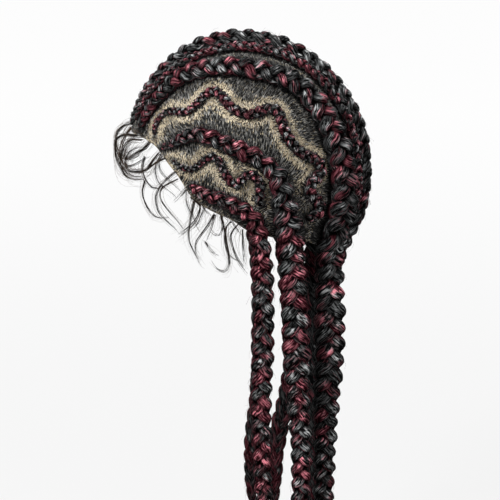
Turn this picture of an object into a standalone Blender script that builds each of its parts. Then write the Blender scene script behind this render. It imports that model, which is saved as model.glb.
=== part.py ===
"""Braid wig: a thin lace cap, cornrows that grow along it, and the plaits they hang on as.

The wearer faces -Y, the wearer's left is +X and +Z is up. The origin is the centre of the head
that fills the cap. Lengths are in metres, and tables in millimetres and degrees say so.
"""

import math
from collections import namedtuple

import bmesh
import bpy
from mathutils import Vector

MM = 0.001
COLLECTION = "braid_wig"

# The outside of the cap on the head is an ellipsoid with these half sizes
HEAD_HALF_WIDTH = 0.078
HEAD_HALF_LENGTH = 0.099
HEAD_CROWN_HEIGHT = 0.111
HEAD = Vector((HEAD_HALF_WIDTH, HEAD_HALF_LENGTH, HEAD_CROWN_HEIGHT))

# At the nape the surface is drawn in toward the neck, most at the back's middle
NAPE_TUCK = 0.006
NAPE_TUCK_BEGINS_UP = -0.010
NAPE_TUCK_FULL_UP = -0.062
NAPE_TUCK_FALL = 3
UNTUCK_ROUNDS = 4

# The lace cap
CAP_WALL = 0.0012
CAP_MERIDIANS = 36
CAP_RINGS = 11
EdgePoint = namedtuple("EdgePoint", "round_deg down_deg")
# The cap's edge, from the middle of the forehead round to the middle of the nape, and how far
# down from the crown it lies there
CAP_EDGE = [
    EdgePoint(0, 69.5),
    EdgePoint(27, 69.5),
    EdgePoint(34, 70.5),
    EdgePoint(41, 72.5),
    EdgePoint(50, 78.5),
    EdgePoint(57, 84),
    EdgePoint(64, 92),
    EdgePoint(73, 97),
    EdgePoint(83, 101),
    EdgePoint(91, 106),
    EdgePoint(105, 110),
    EdgePoint(122, 113),
    EdgePoint(135, 117),
    EdgePoint(155, 122),
    EdgePoint(180, 124),
]

# How the braids lie
SCALP_GAP = 0.0004
JOINT_GAP = 0.0004
SMOOTHING_REACH = 0.003
FINE_STEP = 0.0005
DIRECTION_REACH = 3
HANG_BEGINS_UP = -0.045
HANG_UPRIGHT_UP = -0.080
# Lower down the plaits beside the neck turn to face straight out to the side
FACE_SIDE_FULL_UP = -0.105
FACE_SIDE_FROM_OUT = 0.020
FACE_SIDE_FULL_OUT = 0.045

# A big braid's form: one strand crosses over at each station, left and right in turn
LOBE_HALF_PITCH = 0.0065
LOBE_DEPTH = 0.09
LOBE_TOP_ACROSS = 0.55
LOBE_TOP_UP = 0.95
VALLEY_SHIFT = 0.1
BIG_FLATNESS = 0.70
THIN_FLATNESS = 0.62
ZIGZAG_STEP = 0.0052
UPPER_THIN_STEP = 0.0078
VALLEY_DEPTH = 0.22
CORNROW_WIDEST_UP = -0.15
THIN_FOOT_ACROSS = 0.6
TIP_TAPER = 0.030
TIP_WIDTH_SHARE = 0.35
FRONT_TAPER = 0.006
FRONT_WIDTH_SHARE = 0.45

# Every plait ends at the same height
TIP_UP = -332

# Routes on the head are measured in two ways. Near the middle of the head a place is an angle up
# the profile from the forehead and an angle to the side. On the side of the head it is a distance
# back and up from the head's centre, in mm, and the head's surface gives how far out it lies.
Profile = namedtuple("Profile", "profile_deg side_deg")
Side = namedtuple("Side", "back up")
Hang = namedtuple("Hang", "back up out")
Width = namedtuple("Width", "along width")

CROWN_ROUTE = [Profile(angle, 0) for angle in (23, 45, 70, 95, 120, 145, 170, 190, 208)]
CROWN_HANG = [
    Hang(83, -72, 0),
    Hang(79.5, -84, 0),
    Hang(78, -100, 0),
    Hang(77, -135, 0),
    Hang(76, -180, 0),
    Hang(75, -225, 0),
    Hang(74, -280, 0),
    Hang(73.5, TIP_UP, 0),
]
CROWN_WIDTHS = [
    Width(0, 5.5),
    Width(30, 10),
    Width(60, 14),
    Width(90, 16.5),
    Width(330, 17.5),
    Width(380, 19),
    Width(460, 19),
    Width(540, 17.5),
    Width(620, 15.5),
]

UPPER_THIN_ROUTE = [
    Profile(27, 9.5),
    Profile(36, 8.2),
    Profile(48, 8.6),
    Profile(60, 9.6),
    Profile(75, 10.8),
    Profile(90, 12),
    Profile(103, 13),
    Profile(117, 12.5),
    Profile(130, 13.5),
    Profile(145, 15.5),
    Profile(158, 17),
    Profile(170, 19.5),
    Profile(182, 20.5),
    Profile(197, 20.5),
]
UPPER_THIN_WIDTHS = [Width(0, 4.5), Width(40, 6.5), Width(90, 8), Width(150, 9), Width(300, 9.5)]

UPPER_ROUTE = [
    Profile(26, 20.5),
    Profile(35, 21.5),
    Profile(48, 22.5),
    Profile(60, 23.7),
    Profile(68, 26),
    Profile(80, 29.8),
    Profile(93, 32.2),
    Profile(107, 33.8),
    Profile(121, 33.6),
    Profile(135, 35.7),
    Profile(150, 37.8),
    Profile(165, 39.5),
    Profile(180, 39.5),
    Profile(195, 39.5),
    Profile(208, 38),
    Profile(214, 35.5),
]
UPPER_HANG = [
    Hang(71, -66, 51),
    Hang(70.5, -84, 50.5),
    Hang(70.5, -110, 50),
    Hang(70.5, -145, 50),
    Hang(69, -180, 50),
    Hang(68.5, -215, 50),
    Hang(67.5, -265, 50),
    Hang(67.5, TIP_UP, 50),
]
UPPER_WIDTHS = [
    Width(0, 6),
    Width(30, 9.5),
    Width(60, 12),
    Width(120, 14),
    Width(180, 17),
    Width(240, 20),
    Width(290, 22.5),
    Width(315, 24.5),
    Width(342, 26.5),
    Width(368, 26.2),
    Width(395, 25),
    Width(422, 23.8),
    Width(455, 20.8),
    Width(490, 18.8),
    Width(570, 17),
]

UPPER_ZIGZAG_ROUTE = [
    Side(-73, 44),
    Side(-71, 52),
    Side(-66, 59),
    Side(-59, 63),
    Side(-51, 63),
    Side(-44, 65),
    Side(-37, 71),
    Side(-31, 77),
    Side(-25, 80),
    Side(-19, 77),
    Side(-13, 70),
    Side(-5, 65),
    Side(5, 63),
    Side(12, 65),
    Side(20, 67),
    Side(26, 64),
    Side(29, 56),
    Side(33, 46),
    Side(39, 37),
    Side(47, 30),
    Side(56, 26),
    Side(60, 21),
    Side(60, 14),
    Side(54, 8),
    Side(50, 2),
    Side(54, -4),
    Side(59, -10),
    Side(60, -17),
    Side(55, -21),
    Side(49, -22),
]
UPPER_ZIGZAG_WIDTHS = [
    Width(0, 4.2),
    Width(40, 5.5),
    Width(80, 7),
    Width(120, 8),
    Width(200, 8.8),
    Width(260, 9),
]

SIDE_ROUTE = [
    Side(-67, 34),
    Side(-61, 37),
    Side(-53, 41),
    Side(-44, 46),
    Side(-34, 47),
    Side(-24, 44),
    Side(-12, 39),
    Side(0, 34),
    Side(10, 29),
    Side(18, 23),
    Side(24, 15),
    Side(27, 5),
    Side(29, -7),
    Side(31, -18),
    Side(33, -29),
    Side(34, -38),
]
SIDE_HANG_LEFT = [
    Hang(36.5, -50, 75),
    Hang(37.5, -64, 73.5),
    Hang(39.5, -85, 73),
    Hang(41.5, -108, 73),
    Hang(42.5, -150, 73),
    Hang(44.5, -185, 73),
    Hang(46.5, -215, 73),
    Hang(47, -260, 73),
    Hang(47.5, TIP_UP, 73),
]
SIDE_HANG_RIGHT = [
    Hang(37.5, -50, 75),
    Hang(41, -64, 73.5),
    Hang(46.5, -85, 72.5),
    Hang(50, -110, 72),
    Hang(51, -150, 72),
    Hang(50.5, -190, 72),
    Hang(45.5, -225, 72),
    Hang(37.5, -258, 72),
    Hang(33.5, -290, 72),
    Hang(32.5, TIP_UP, 72),
]
SIDE_WIDTHS = [
    Width(0, 5),
    Width(15, 8),
    Width(30, 11),
    Width(45, 13),
    Width(70, 14.5),
    Width(100, 15.5),
    Width(120, 18),
    Width(142, 21.5),
    Width(165, 23.5),
    Width(195, 24.3),
    Width(245, 24.6),
    Width(270, 22.8),
    Width(300, 20.5),
    Width(335, 18.6),
    Width(365, 17.5),
    Width(450, 16),
]

LOWER_ZIGZAG_ROUTE = [
    Side(-58, 25),
    Side(-51, 21),
    Side(-43, 20),
    Side(-35, 26),
    Side(-27, 31),
    Side(-21, 27),
    Side(-17, 18),
    Side(-10, 9),
    Side(-4, 12),
    Side(1, 17),
    Side(7, 16),
    Side(11, 9),
    Side(11, 2),
    Side(10, -4),
    Side(12, -9),
]
LOWER_ZIGZAG_WIDTHS = [Width(0, 4.2), Width(30, 5.5), Width(60, 7), Width(120, 8.5)]

HAIRLINE_ROUTE = [
    Side(-44, 7),
    Side(-37, 3),
    Side(-30, 0),
    Side(-22, -2),
    Side(-13, -5),
    Side(-6, -9),
    Side(1, -14),
    Side(6, -21),
    Side(9, -30),
    Side(10, -36),
]
HAIRLINE_HANG_LEFT = [
    Hang(11.5, -48, 80),
    Hang(13, -64, 78.5),
    Hang(14, -90, 78),
    Hang(14, -122, 78),
    Hang(13, -150, 78),
    Hang(12, -180, 78),
    Hang(13.5, -215, 78),
    Hang(14.5, -245, 78),
    Hang(16.5, -290, 78),
    Hang(16.5, TIP_UP, 78),
]
HAIRLINE_HANG_RIGHT = [
    Hang(12.5, -48, 80),
    Hang(15, -64, 79),
    Hang(19, -85, 79),
    Hang(21.5, -110, 79),
    Hang(22, -150, 79),
    Hang(21, -195, 79),
    Hang(18.5, -228, 79),
    Hang(14.5, -262, 79),
    Hang(13, -295, 79),
    Hang(13, TIP_UP, 79),
]
HAIRLINE_WIDTHS = [
    Width(0, 6),
    Width(12, 10),
    Width(30, 12.5),
    Width(50, 13.5),
    Width(70, 16),
    Width(85, 18.2),
    Width(125, 18.3),
    Width(160, 18.7),
    Width(182, 19.3),
    Width(205, 18.6),
    Width(228, 18.3),
    Width(250, 16.8),
    Width(290, 16),
    Width(365, 14.5),
]

# Colours, as linear red, green and blue
BLACK_HAIR = (0.012, 0.010, 0.012)
DARK_RED_HAIR = (0.055, 0.010, 0.016)
BURGUNDY_HAIR = (0.120, 0.018, 0.030)
LACE = (0.380, 0.310, 0.230)

Station = namedtuple("Station", "place outward across along width")


def nape_tuck(place):
    """How far forward the surface is drawn in at a place of the plain ellipsoid."""
    low = (NAPE_TUCK_BEGINS_UP - place.z) / (NAPE_TUCK_BEGINS_UP - NAPE_TUCK_FULL_UP)
    low = min(1, max(0, low))
    across, back = place.x / HEAD.x, place.y / HEAD.y
    if low == 0 or back <= 0:
        return 0.0
    return NAPE_TUCK * low**2 * (back / math.hypot(across, back)) ** NAPE_TUCK_FALL


def tucked(place):
    """A place of the plain ellipsoid moved to the surface drawn in at the nape."""
    return place - Vector((0, nape_tuck(place), 0))


def untucked(place):
    """The plain ellipsoid's place that a drawn in place comes from."""
    plain = place
    for _ in range(UNTUCK_ROUNDS):
        plain = place + Vector((0, nape_tuck(plain), 0))
    return plain


def in_half_sizes(place):
    return Vector((place.x / HEAD.x, place.y / HEAD.y, place.z / HEAD.z))


def eased(share):
    """A share held to 0 to 1 and eased at both ends."""
    share = min(1, max(0, share))
    return share * share * (3 - 2 * share)


def surface_normal(place):
    """The surface's outward direction at a place, turned level and to the side below the nape."""
    level = eased((place.z - HANG_UPRIGHT_UP) / (HANG_BEGINS_UP - HANG_UPRIGHT_UP))
    low = eased((HANG_BEGINS_UP - place.z) / (HANG_BEGINS_UP - FACE_SIDE_FULL_UP))
    span = FACE_SIDE_FULL_OUT - FACE_SIDE_FROM_OUT
    back = 1 - low * eased((abs(place.x) - FACE_SIDE_FROM_OUT) / span)
    gradient = []
    for step in (Vector((FINE_STEP, 0, 0)), Vector((0, FINE_STEP, 0)), Vector((0, 0, FINE_STEP))):
        ahead = in_half_sizes(untucked(place + step)).length
        behind = in_half_sizes(untucked(place - step)).length
        gradient.append(ahead - behind)
    return Vector((gradient[0], back * gradient[1], level * gradient[2])).normalized()


def onto_head(place):
    """A place moved straight from the head's centre onto its surface."""
    plain = untucked(place)
    return tucked(plain / in_half_sizes(plain).length)


def place_of(point, side):
    """The place on the head's surface that a route's row names, on the left with side 1."""
    if isinstance(point, Profile):
        up_profile = math.radians(point.profile_deg)
        to_side = math.radians(point.side_deg)
        plain = Vector(
            (
                side * HEAD.x * math.sin(to_side),
                -HEAD.y * math.cos(to_side) * math.cos(up_profile),
                HEAD.z * math.cos(to_side) * math.sin(up_profile),
            )
        )
        return tucked(plain)
    back = point.back * MM
    up = point.up * MM
    out_share = math.sqrt(1 - (back / HEAD.y) ** 2 - (up / HEAD.z) ** 2)
    return tucked(Vector((side * HEAD.x * out_share, back, up)))


def width_at(widths, along):
    """A braid's width at a distance from its front end, straight between the table's rows."""
    before = widths[0]
    for row in widths:
        if row.along * MM >= along:
            span = row.along - before.along
            share = (along / MM - before.along) / span if span else 0
            return (before.width + share * (row.width - before.width)) * MM
        before = row
    return widths[-1].width * MM


def smooth_curve(points, step):
    """Places about a step apart on a smooth curve through the points, and each one's point number."""
    places = []
    last = len(points) - 1
    for index in range(last):
        before = points[max(0, index - 1)]
        start = points[index]
        end = points[index + 1]
        after = points[min(last, index + 2)]
        count = max(2, round((end - start).length / step))
        for number in range(count):
            t = number / count
            place = 0.5 * (
                2 * start
                + t * (end - before)
                + t**2 * (2 * before - 5 * start + 4 * end - after)
                + t**3 * (3 * start - before - 3 * end + after)
            )
            places.append((place, index))
    places.append((points[last], last))
    return places


def averaged(places, reach):
    """Each place moved to the middle of its neighbours, with the two ends left where they are."""
    last = len(places) - 1
    result = []
    for index in range(len(places)):
        near = min(reach, index, last - index)
        group = places[index - near : index + near + 1]
        result.append(sum(group, Vector()) / len(group))
    return result


def foot_line(route, hang, side, widths, flatness):
    """The fine line under a braid: on the head first, then straight on where it hangs."""
    points = [place_of(point, side) for point in route]
    plait_width = max(row.width for row in widths) * MM
    for row in hang:
        centre = Vector((side * row.out * MM, row.back * MM, row.up * MM))
        height = plait_width * flatness
        points.append(centre - surface_normal(centre) * (SCALP_GAP + height / 2))
    fine = smooth_curve(points, FINE_STEP)
    last_on_head = len(route) - 1
    places = [onto_head(place) if index < last_on_head else place for place, index in fine]
    places = averaged(places, round(SMOOTHING_REACH / FINE_STEP))
    return [onto_head(place) if fine[i][1] < last_on_head else place for i, place in enumerate(places)]


def stations_along(line, widths, step):
    """Stations about a step apart along a whole line, with the braid's directions there."""
    lengths = [0.0]
    for before, after in zip(line, line[1:]):
        lengths.append(lengths[-1] + (after - before).length)
    count = round(lengths[-1] / step)
    result = []
    index = 1
    for number in range(count + 1):
        along = lengths[-1] * number / count
        while index < len(lengths) - 1 and lengths[index] < along:
            index += 1
        share = (along - lengths[index - 1]) / (lengths[index] - lengths[index - 1])
        place = line[index - 1].lerp(line[index], share)
        low = max(0, index - DIRECTION_REACH)
        high = min(len(line) - 1, index + DIRECTION_REACH - 1)
        forward = (line[high] - line[low]).normalized()
        across = forward.cross(surface_normal(place)).normalized()
        outward = across.cross(forward)
        result.append(Station(place, outward, across, along, width_at(widths, along)))
    return result


def where_it_leaves_cap(stations):
    """The number of the first station past the cap's edge, at the braid's lower end."""
    was_on_cap = False
    for number, station in enumerate(stations):
        round_deg, down_deg = cap_angles(station.place)
        on_cap = down_deg < cap_edge_down(round_deg)
        if was_on_cap and not on_cap:
            return number
        was_on_cap = on_cap
    return len(stations) - 1


def cap_angles(place):
    """How far round from the forehead and how far down from the crown a place lies."""
    unit = in_half_sizes(untucked(place)).normalized()
    round_deg = math.degrees(math.atan2(abs(unit.x), -unit.y))
    return round_deg, math.degrees(math.acos(max(-1, min(1, unit.z))))


def cap_edge_down(round_deg):
    """How far down from the crown the cap reaches, eased between the table's rows."""
    last = len(CAP_EDGE) - 1
    index = 0
    while index < last - 1 and CAP_EDGE[index + 1].round_deg <= round_deg:
        index += 1
    start, end = CAP_EDGE[index], CAP_EDGE[index + 1]
    before = CAP_EDGE[index - 1] if index else EdgePoint(-end.round_deg, end.down_deg)
    after = CAP_EDGE[index + 2] if index + 2 <= last else EdgePoint(360 - start.round_deg, start.down_deg)
    span = end.round_deg - start.round_deg
    t = (round_deg - start.round_deg) / span
    slope_in = (end.down_deg - before.down_deg) / (end.round_deg - before.round_deg) * span
    slope_out = (after.down_deg - start.down_deg) / (after.round_deg - start.round_deg) * span
    return (
        (2 * t**3 - 3 * t**2 + 1) * start.down_deg
        + (t**3 - 2 * t**2 + t) * slope_in
        + (3 * t**2 - 2 * t**3) * end.down_deg
        + (t**3 - t**2) * slope_out
    )


def end_scale(station, stations, taper_front, taper_tip):
    """How much narrower a braid is near its front end and its tip."""
    from_front = station.along - stations[0].along
    from_tip = stations[-1].along - station.along
    scale = 1.0
    if from_front < taper_front:
        scale = FRONT_WIDTH_SHARE + (1 - FRONT_WIDTH_SHARE) * math.sqrt(from_front / taper_front)
    if from_tip < taper_tip:
        scale = TIP_WIDTH_SHARE + (1 - TIP_WIDTH_SHARE) * math.sqrt(from_tip / taper_tip)
    return scale


def ring_at(station, outline, flatness, scale):
    """A braid's cross-section at a station. The outline's rows are shares of its half sizes."""
    half_width = station.width / 2 * scale
    half_height = station.width * flatness / 2
    low = station.place + station.outward * (SCALP_GAP + half_height * scale)
    return [
        low + station.across * (half_width * across) + station.outward * (half_height * scale * up)
        for across, up in outline
    ]


def cornrow_outline(lean):
    """A big cornrow's section: flat below, with two columns of lobes and a valley between them."""
    left = 1 + LOBE_DEPTH * lean
    right = 1 - LOBE_DEPTH * lean
    return [
        (-LOBE_TOP_ACROSS * left, -1),
        (LOBE_TOP_ACROSS * right, -1),
        (right, CORNROW_WIDEST_UP),
        (LOBE_TOP_ACROSS * right, LOBE_TOP_UP * right),
        (VALLEY_SHIFT * lean, 1 - VALLEY_DEPTH),
        (-LOBE_TOP_ACROSS * left, LOBE_TOP_UP * left),
        (-left, CORNROW_WIDEST_UP),
    ]


def plait_outline(lean):
    """A hanging plait's section: the same lobes and valley on both faces."""
    left = 1 + LOBE_DEPTH * lean
    right = 1 - LOBE_DEPTH * lean
    return [
        (-LOBE_TOP_ACROSS * left, -LOBE_TOP_UP * left),
        (-VALLEY_SHIFT * lean, VALLEY_DEPTH - 1),
        (LOBE_TOP_ACROSS * right, -LOBE_TOP_UP * right),
        (right, 0),
        (LOBE_TOP_ACROSS * right, LOBE_TOP_UP * right),
        (VALLEY_SHIFT * lean, 1 - VALLEY_DEPTH),
        (-LOBE_TOP_ACROSS * left, LOBE_TOP_UP * left),
        (-left, 0),
    ]


def thin_outline(_lean):
    """A thin cornrow's section: flat below and rounded above."""
    return [(-THIN_FOOT_ACROSS, -1), (THIN_FOOT_ACROSS, -1), (1, 0), (0, 1), (-1, 0)]


def loft(rings):
    """A closed mesh through the rings, with a fan over each end."""
    mesh = bmesh.new()
    loops = [[mesh.verts.new(place) for place in ring] for ring in rings]
    for before, after in zip(loops, loops[1:]):
        for index in range(len(before)):
            following = (index + 1) % len(before)
            mesh.faces.new((before[index], before[following], after[following], after[index]))
    for loop, inward in ((loops[0], True), (loops[-1], False)):
        middle = mesh.verts.new(sum((vert.co for vert in loop), Vector()) / len(loop))
        for index in range(len(loop)):
            following = (index + 1) % len(loop)
            pair = (loop[following], loop[index]) if inward else (loop[index], loop[following])
            mesh.faces.new((*pair, middle))
    bmesh.ops.recalc_face_normals(mesh, faces=mesh.faces)
    return mesh


def braid(name, stations, outline, flatness, finish, taper_front=0.0, taper_tip=0.0):
    """One woven bundle along its stations."""
    rings = []
    for number, station in enumerate(stations):
        lean = 1 if number % 2 else -1
        scale = end_scale(station, stations, taper_front, taper_tip)
        rings.append(ring_at(station, outline(lean), flatness, scale))
    return add_object(name, loft(rings), finish)


def big_braid(cornrow_name, plait_name, route, hang, side, widths, cornrow_finish, plait_finish):
    """A big cornrow that leaves the cap's edge as a hanging plait."""
    line = foot_line(route, hang, side, widths, BIG_FLATNESS)
    stations = stations_along(line, widths, LOBE_HALF_PITCH)
    joint = where_it_leaves_cap(stations)
    on_cap = stations[: joint + 1]
    forward = stations[joint].outward.cross(stations[joint].across)
    first_free = stations[joint]._replace(place=stations[joint].place + forward * JOINT_GAP)
    free = [first_free, *stations[joint + 1 :]]
    braid(cornrow_name, on_cap, cornrow_outline, BIG_FLATNESS, cornrow_finish, taper_front=FRONT_TAPER)
    braid(plait_name, free, plait_outline, BIG_FLATNESS, plait_finish, taper_tip=TIP_TAPER)


def thin_cornrow(name, route, side, widths, step, tail_taper, finish):
    """A thin cornrow that stays on the cap from end to end."""
    line = foot_line(route, [], side, widths, THIN_FLATNESS)
    stations = stations_along(line, widths, step)
    braid(name, stations, thin_outline, THIN_FLATNESS, finish, FRONT_TAPER, tail_taper)


def lace_cap(finish):
    """A thin dome over the head down to the hairline, ears and nape."""
    mesh = bmesh.new()
    bmesh.ops.create_uvsphere(mesh, u_segments=CAP_MERIDIANS, v_segments=2 * CAP_RINGS, radius=1)
    below = [vert for vert in mesh.verts if vert.co.z < -0.001]
    bmesh.ops.delete(mesh, geom=below, context="VERTS")
    for vert in mesh.verts:
        quarter_deg = math.degrees(math.acos(max(-1, min(1, vert.co.z))))
        round_deg = math.degrees(math.atan2(abs(vert.co.x), -vert.co.y))
        down = math.radians(quarter_deg / 90 * cap_edge_down(round_deg))
        level = Vector((vert.co.x, vert.co.y, 0))
        if level.length > 0.001:
            level.normalize()
        plain = Vector(
            (
                HEAD.x * math.sin(down) * level.x,
                HEAD.y * math.sin(down) * level.y,
                HEAD.z * math.cos(down),
            )
        )
        vert.co = tucked(plain)
    bmesh.ops.recalc_face_normals(mesh, faces=mesh.faces)
    cap = add_object("lace_cap", mesh, finish)
    wall = cap.modifiers.new("wall", "SOLIDIFY")
    wall.thickness = CAP_WALL
    wall.offset = -1
    wall.use_even_offset = True
    return cap


def hair(name, colour):
    """Glossy braided hair."""
    return principled(name, colour, 0.42)


def principled(name, colour, roughness):
    made = bpy.data.materials.new(name)
    made.use_nodes = True
    shader = made.node_tree.nodes["Principled BSDF"]
    shader.inputs["Base Color"].default_value = (*colour, 1)
    shader.inputs["Roughness"].default_value = roughness
    shader.inputs["Metallic"].default_value = 0
    made.diffuse_color = (*colour, 1)
    return made


def add_object(name, mesh, finish):
    data = bpy.data.meshes.new(name)
    mesh.to_mesh(data)
    mesh.free()
    data.shade_smooth()
    data.set_sharp_from_angle(angle=math.radians(60))
    data.materials.append(finish)
    made = bpy.data.objects.new(name, data)
    bpy.data.collections[COLLECTION].objects.link(made)
    return made


def clear_scene():
    for old in list(bpy.data.objects):
        bpy.data.objects.remove(old)
    bpy.context.scene.collection.children.link(bpy.data.collections.new(COLLECTION))


def build():
    clear_scene()
    lace_cap(principled("lace", LACE, 0.85))
    big_braid(
        "crown_cornrow",
        "crown_plait",
        CROWN_ROUTE,
        CROWN_HANG,
        1,
        CROWN_WIDTHS,
        hair("crown_cornrow_hair", BLACK_HAIR),
        hair("crown_plait_hair", BLACK_HAIR),
    )
    hangs = {
        "left": (1, SIDE_HANG_LEFT, HAIRLINE_HANG_LEFT),
        "right": (-1, SIDE_HANG_RIGHT, HAIRLINE_HANG_RIGHT),
    }
    for word, (side, side_hang, hairline_hang) in hangs.items():
        big_braid(
            f"upper_cornrow_{word}",
            f"rear_plait_{word}",
            UPPER_ROUTE,
            UPPER_HANG,
            side,
            UPPER_WIDTHS,
            hair(f"upper_cornrow_hair_{word}", DARK_RED_HAIR),
            hair(f"rear_plait_hair_{word}", BLACK_HAIR),
        )
        big_braid(
            f"side_cornrow_{word}",
            f"middle_plait_{word}",
            SIDE_ROUTE,
            side_hang,
            side,
            SIDE_WIDTHS,
            hair(f"side_cornrow_hair_{word}", BURGUNDY_HAIR),
            hair(f"middle_plait_hair_{word}", DARK_RED_HAIR),
        )
        big_braid(
            f"hairline_cornrow_{word}",
            f"front_plait_{word}",
            HAIRLINE_ROUTE,
            hairline_hang,
            side,
            HAIRLINE_WIDTHS,
            hair(f"hairline_cornrow_hair_{word}", DARK_RED_HAIR),
            hair(f"front_plait_hair_{word}", DARK_RED_HAIR),
        )
        thin_cornrow(
            f"upper_thin_cornrow_{word}",
            UPPER_THIN_ROUTE,
            side,
            UPPER_THIN_WIDTHS,
            UPPER_THIN_STEP,
            TIP_TAPER,
            hair(f"upper_thin_cornrow_hair_{word}", BLACK_HAIR),
        )
        thin_cornrow(
            f"upper_zigzag_cornrow_{word}",
            UPPER_ZIGZAG_ROUTE,
            side,
            UPPER_ZIGZAG_WIDTHS,
            ZIGZAG_STEP,
            FRONT_TAPER,
            hair(f"upper_zigzag_cornrow_hair_{word}", DARK_RED_HAIR),
        )
        thin_cornrow(
            f"lower_zigzag_cornrow_{word}",
            LOWER_ZIGZAG_ROUTE,
            side,
            LOWER_ZIGZAG_WIDTHS,
            ZIGZAG_STEP,
            FRONT_TAPER,
            hair(f"lower_zigzag_cornrow_hair_{word}", BLACK_HAIR),
        )


build()
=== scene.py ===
"""Dresses the braid wig: woven braids, a lace cap with combed flat hair, and soft loose hairs.

Lengths are in metres, apart from tables and names that say mm or degrees. The wearer faces -Y, the
wearer's left is +X and +Z is up.
"""

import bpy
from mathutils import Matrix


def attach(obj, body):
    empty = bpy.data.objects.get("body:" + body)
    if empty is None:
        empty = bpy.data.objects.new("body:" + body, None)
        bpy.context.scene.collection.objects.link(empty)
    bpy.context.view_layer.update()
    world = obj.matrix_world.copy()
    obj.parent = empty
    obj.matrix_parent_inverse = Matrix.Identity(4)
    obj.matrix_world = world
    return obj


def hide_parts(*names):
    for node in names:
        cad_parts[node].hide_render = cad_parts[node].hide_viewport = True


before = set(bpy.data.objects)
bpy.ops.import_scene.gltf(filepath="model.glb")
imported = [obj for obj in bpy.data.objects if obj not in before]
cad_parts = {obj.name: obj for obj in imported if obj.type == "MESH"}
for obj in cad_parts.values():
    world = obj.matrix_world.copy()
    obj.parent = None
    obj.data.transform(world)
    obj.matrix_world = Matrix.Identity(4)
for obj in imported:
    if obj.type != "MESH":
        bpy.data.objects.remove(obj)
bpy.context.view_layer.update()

import math
from collections import namedtuple

import bpy
import numpy as np
from bpy.props import FloatProperty, FloatVectorProperty, IntProperty, PointerProperty
from mathutils import Matrix, Vector, kdtree

bl_info = {
    "name": "Braid wig",
    "version": (1, 0, 0),
    "blender": (4, 5, 0),
    "location": "View3D > Sidebar > Braid wig",
    "description": "Weaves the braids and lays the hair on the lace cap of a cornrow wig",
    "category": "Add Mesh",
}

MM = 0.001

# The head's half sizes and how the nape is drawn in, as in the solids
HEAD = np.array((0.078, 0.099, 0.111))
NAPE_TUCK = 0.006
NAPE_TUCK_BEGINS_UP = -0.010
NAPE_TUCK_FULL_UP = -0.062
NAPE_TUCK_FALL = 3
UNTUCK_ROUNDS = 4

# How the braids lie, as in the solids
SCALP_GAP = 0.0004
SMOOTHING_REACH = 0.003
FINE_STEP = 0.0005
DIRECTION_REACH = 3
HANG_BEGINS_UP = -0.045
HANG_UPRIGHT_UP = -0.080
FACE_SIDE_FULL_UP = -0.105
FACE_SIDE_FROM_OUT = 0.020
FACE_SIDE_FULL_OUT = 0.045
TIP_UP_MM = -332
TIP_WIDTH_SHARE = 0.35
FRONT_WIDTH_SHARE = 0.45
FRONT_TAPER = 0.006
TIP_TAPER = 0.030
BIG_FLATNESS = 0.70
THIN_FLATNESS = 0.62


def rows_of(kind, *rows):
    """A table's rows with their columns named."""
    return [kind(*row) for row in rows]


# The cap's edge: how far round from the forehead, and how far down from the crown
EdgePoint = namedtuple("EdgePoint", "round_deg down_deg")
CAP_EDGE = rows_of(
    EdgePoint, (0, 69.5), (27, 69.5), (34, 70.5), (41, 72.5), (50, 78.5), (57, 84), (64, 92),
    (73, 97), (83, 101), (91, 106), (105, 110), (122, 113), (135, 117), (155, 122), (180, 124),
)

# A route's rows on the head by angle in degrees or by place in mm, a hanging plait's rows in mm,
# and a braid's widths along it in mm
Profile = namedtuple("Profile", "profile_deg side_deg")
Side = namedtuple("Side", "back up")
Hang = namedtuple("Hang", "back up out")
Width = namedtuple("Width", "along width")

CROWN_ROUTE = [Profile(angle, 0) for angle in (23, 45, 70, 95, 120, 145, 170, 190, 208)]
CROWN_HANG = rows_of(
    Hang, (83, -72, 0), (79.5, -84, 0), (78, -100, 0), (77, -135, 0), (76, -180, 0),
    (75, -225, 0), (74, -280, 0), (73.5, TIP_UP_MM, 0),
)
CROWN_WIDTHS = rows_of(
    Width, (0, 5.5), (30, 10), (60, 14), (90, 16.5), (330, 17.5), (380, 19), (460, 19),
    (540, 17.5), (620, 15.5),
)

UPPER_THIN_ROUTE = rows_of(
    Profile, (27, 9.5), (36, 8.2), (48, 8.6), (60, 9.6), (75, 10.8), (90, 12), (103, 13),
    (117, 12.5), (130, 13.5), (145, 15.5), (158, 17), (170, 19.5), (182, 20.5), (197, 20.5),
)
UPPER_THIN_WIDTHS = rows_of(Width, (0, 4.5), (40, 6.5), (90, 8), (150, 9), (300, 9.5))

UPPER_ROUTE = rows_of(
    Profile, (26, 20.5), (35, 21.5), (48, 22.5), (60, 23.7), (68, 26), (80, 29.8), (93, 32.2),
    (107, 33.8), (121, 33.6), (135, 35.7), (150, 37.8), (165, 39.5), (180, 39.5), (195, 39.5),
    (208, 38), (214, 35.5),
)
UPPER_HANG = rows_of(
    Hang, (71, -66, 51), (70.5, -84, 50.5), (70.5, -110, 50), (70.5, -145, 50), (69, -180, 50),
    (68.5, -215, 50), (67.5, -265, 50), (67.5, TIP_UP_MM, 50),
)
UPPER_WIDTHS = rows_of(
    Width, (0, 6), (30, 9.5), (60, 12), (120, 14), (180, 17), (240, 20), (290, 22.5), (315, 24.5),
    (342, 26.5), (368, 26.2), (395, 25), (422, 23.8), (455, 20.8), (490, 18.8), (570, 17),
)

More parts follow.
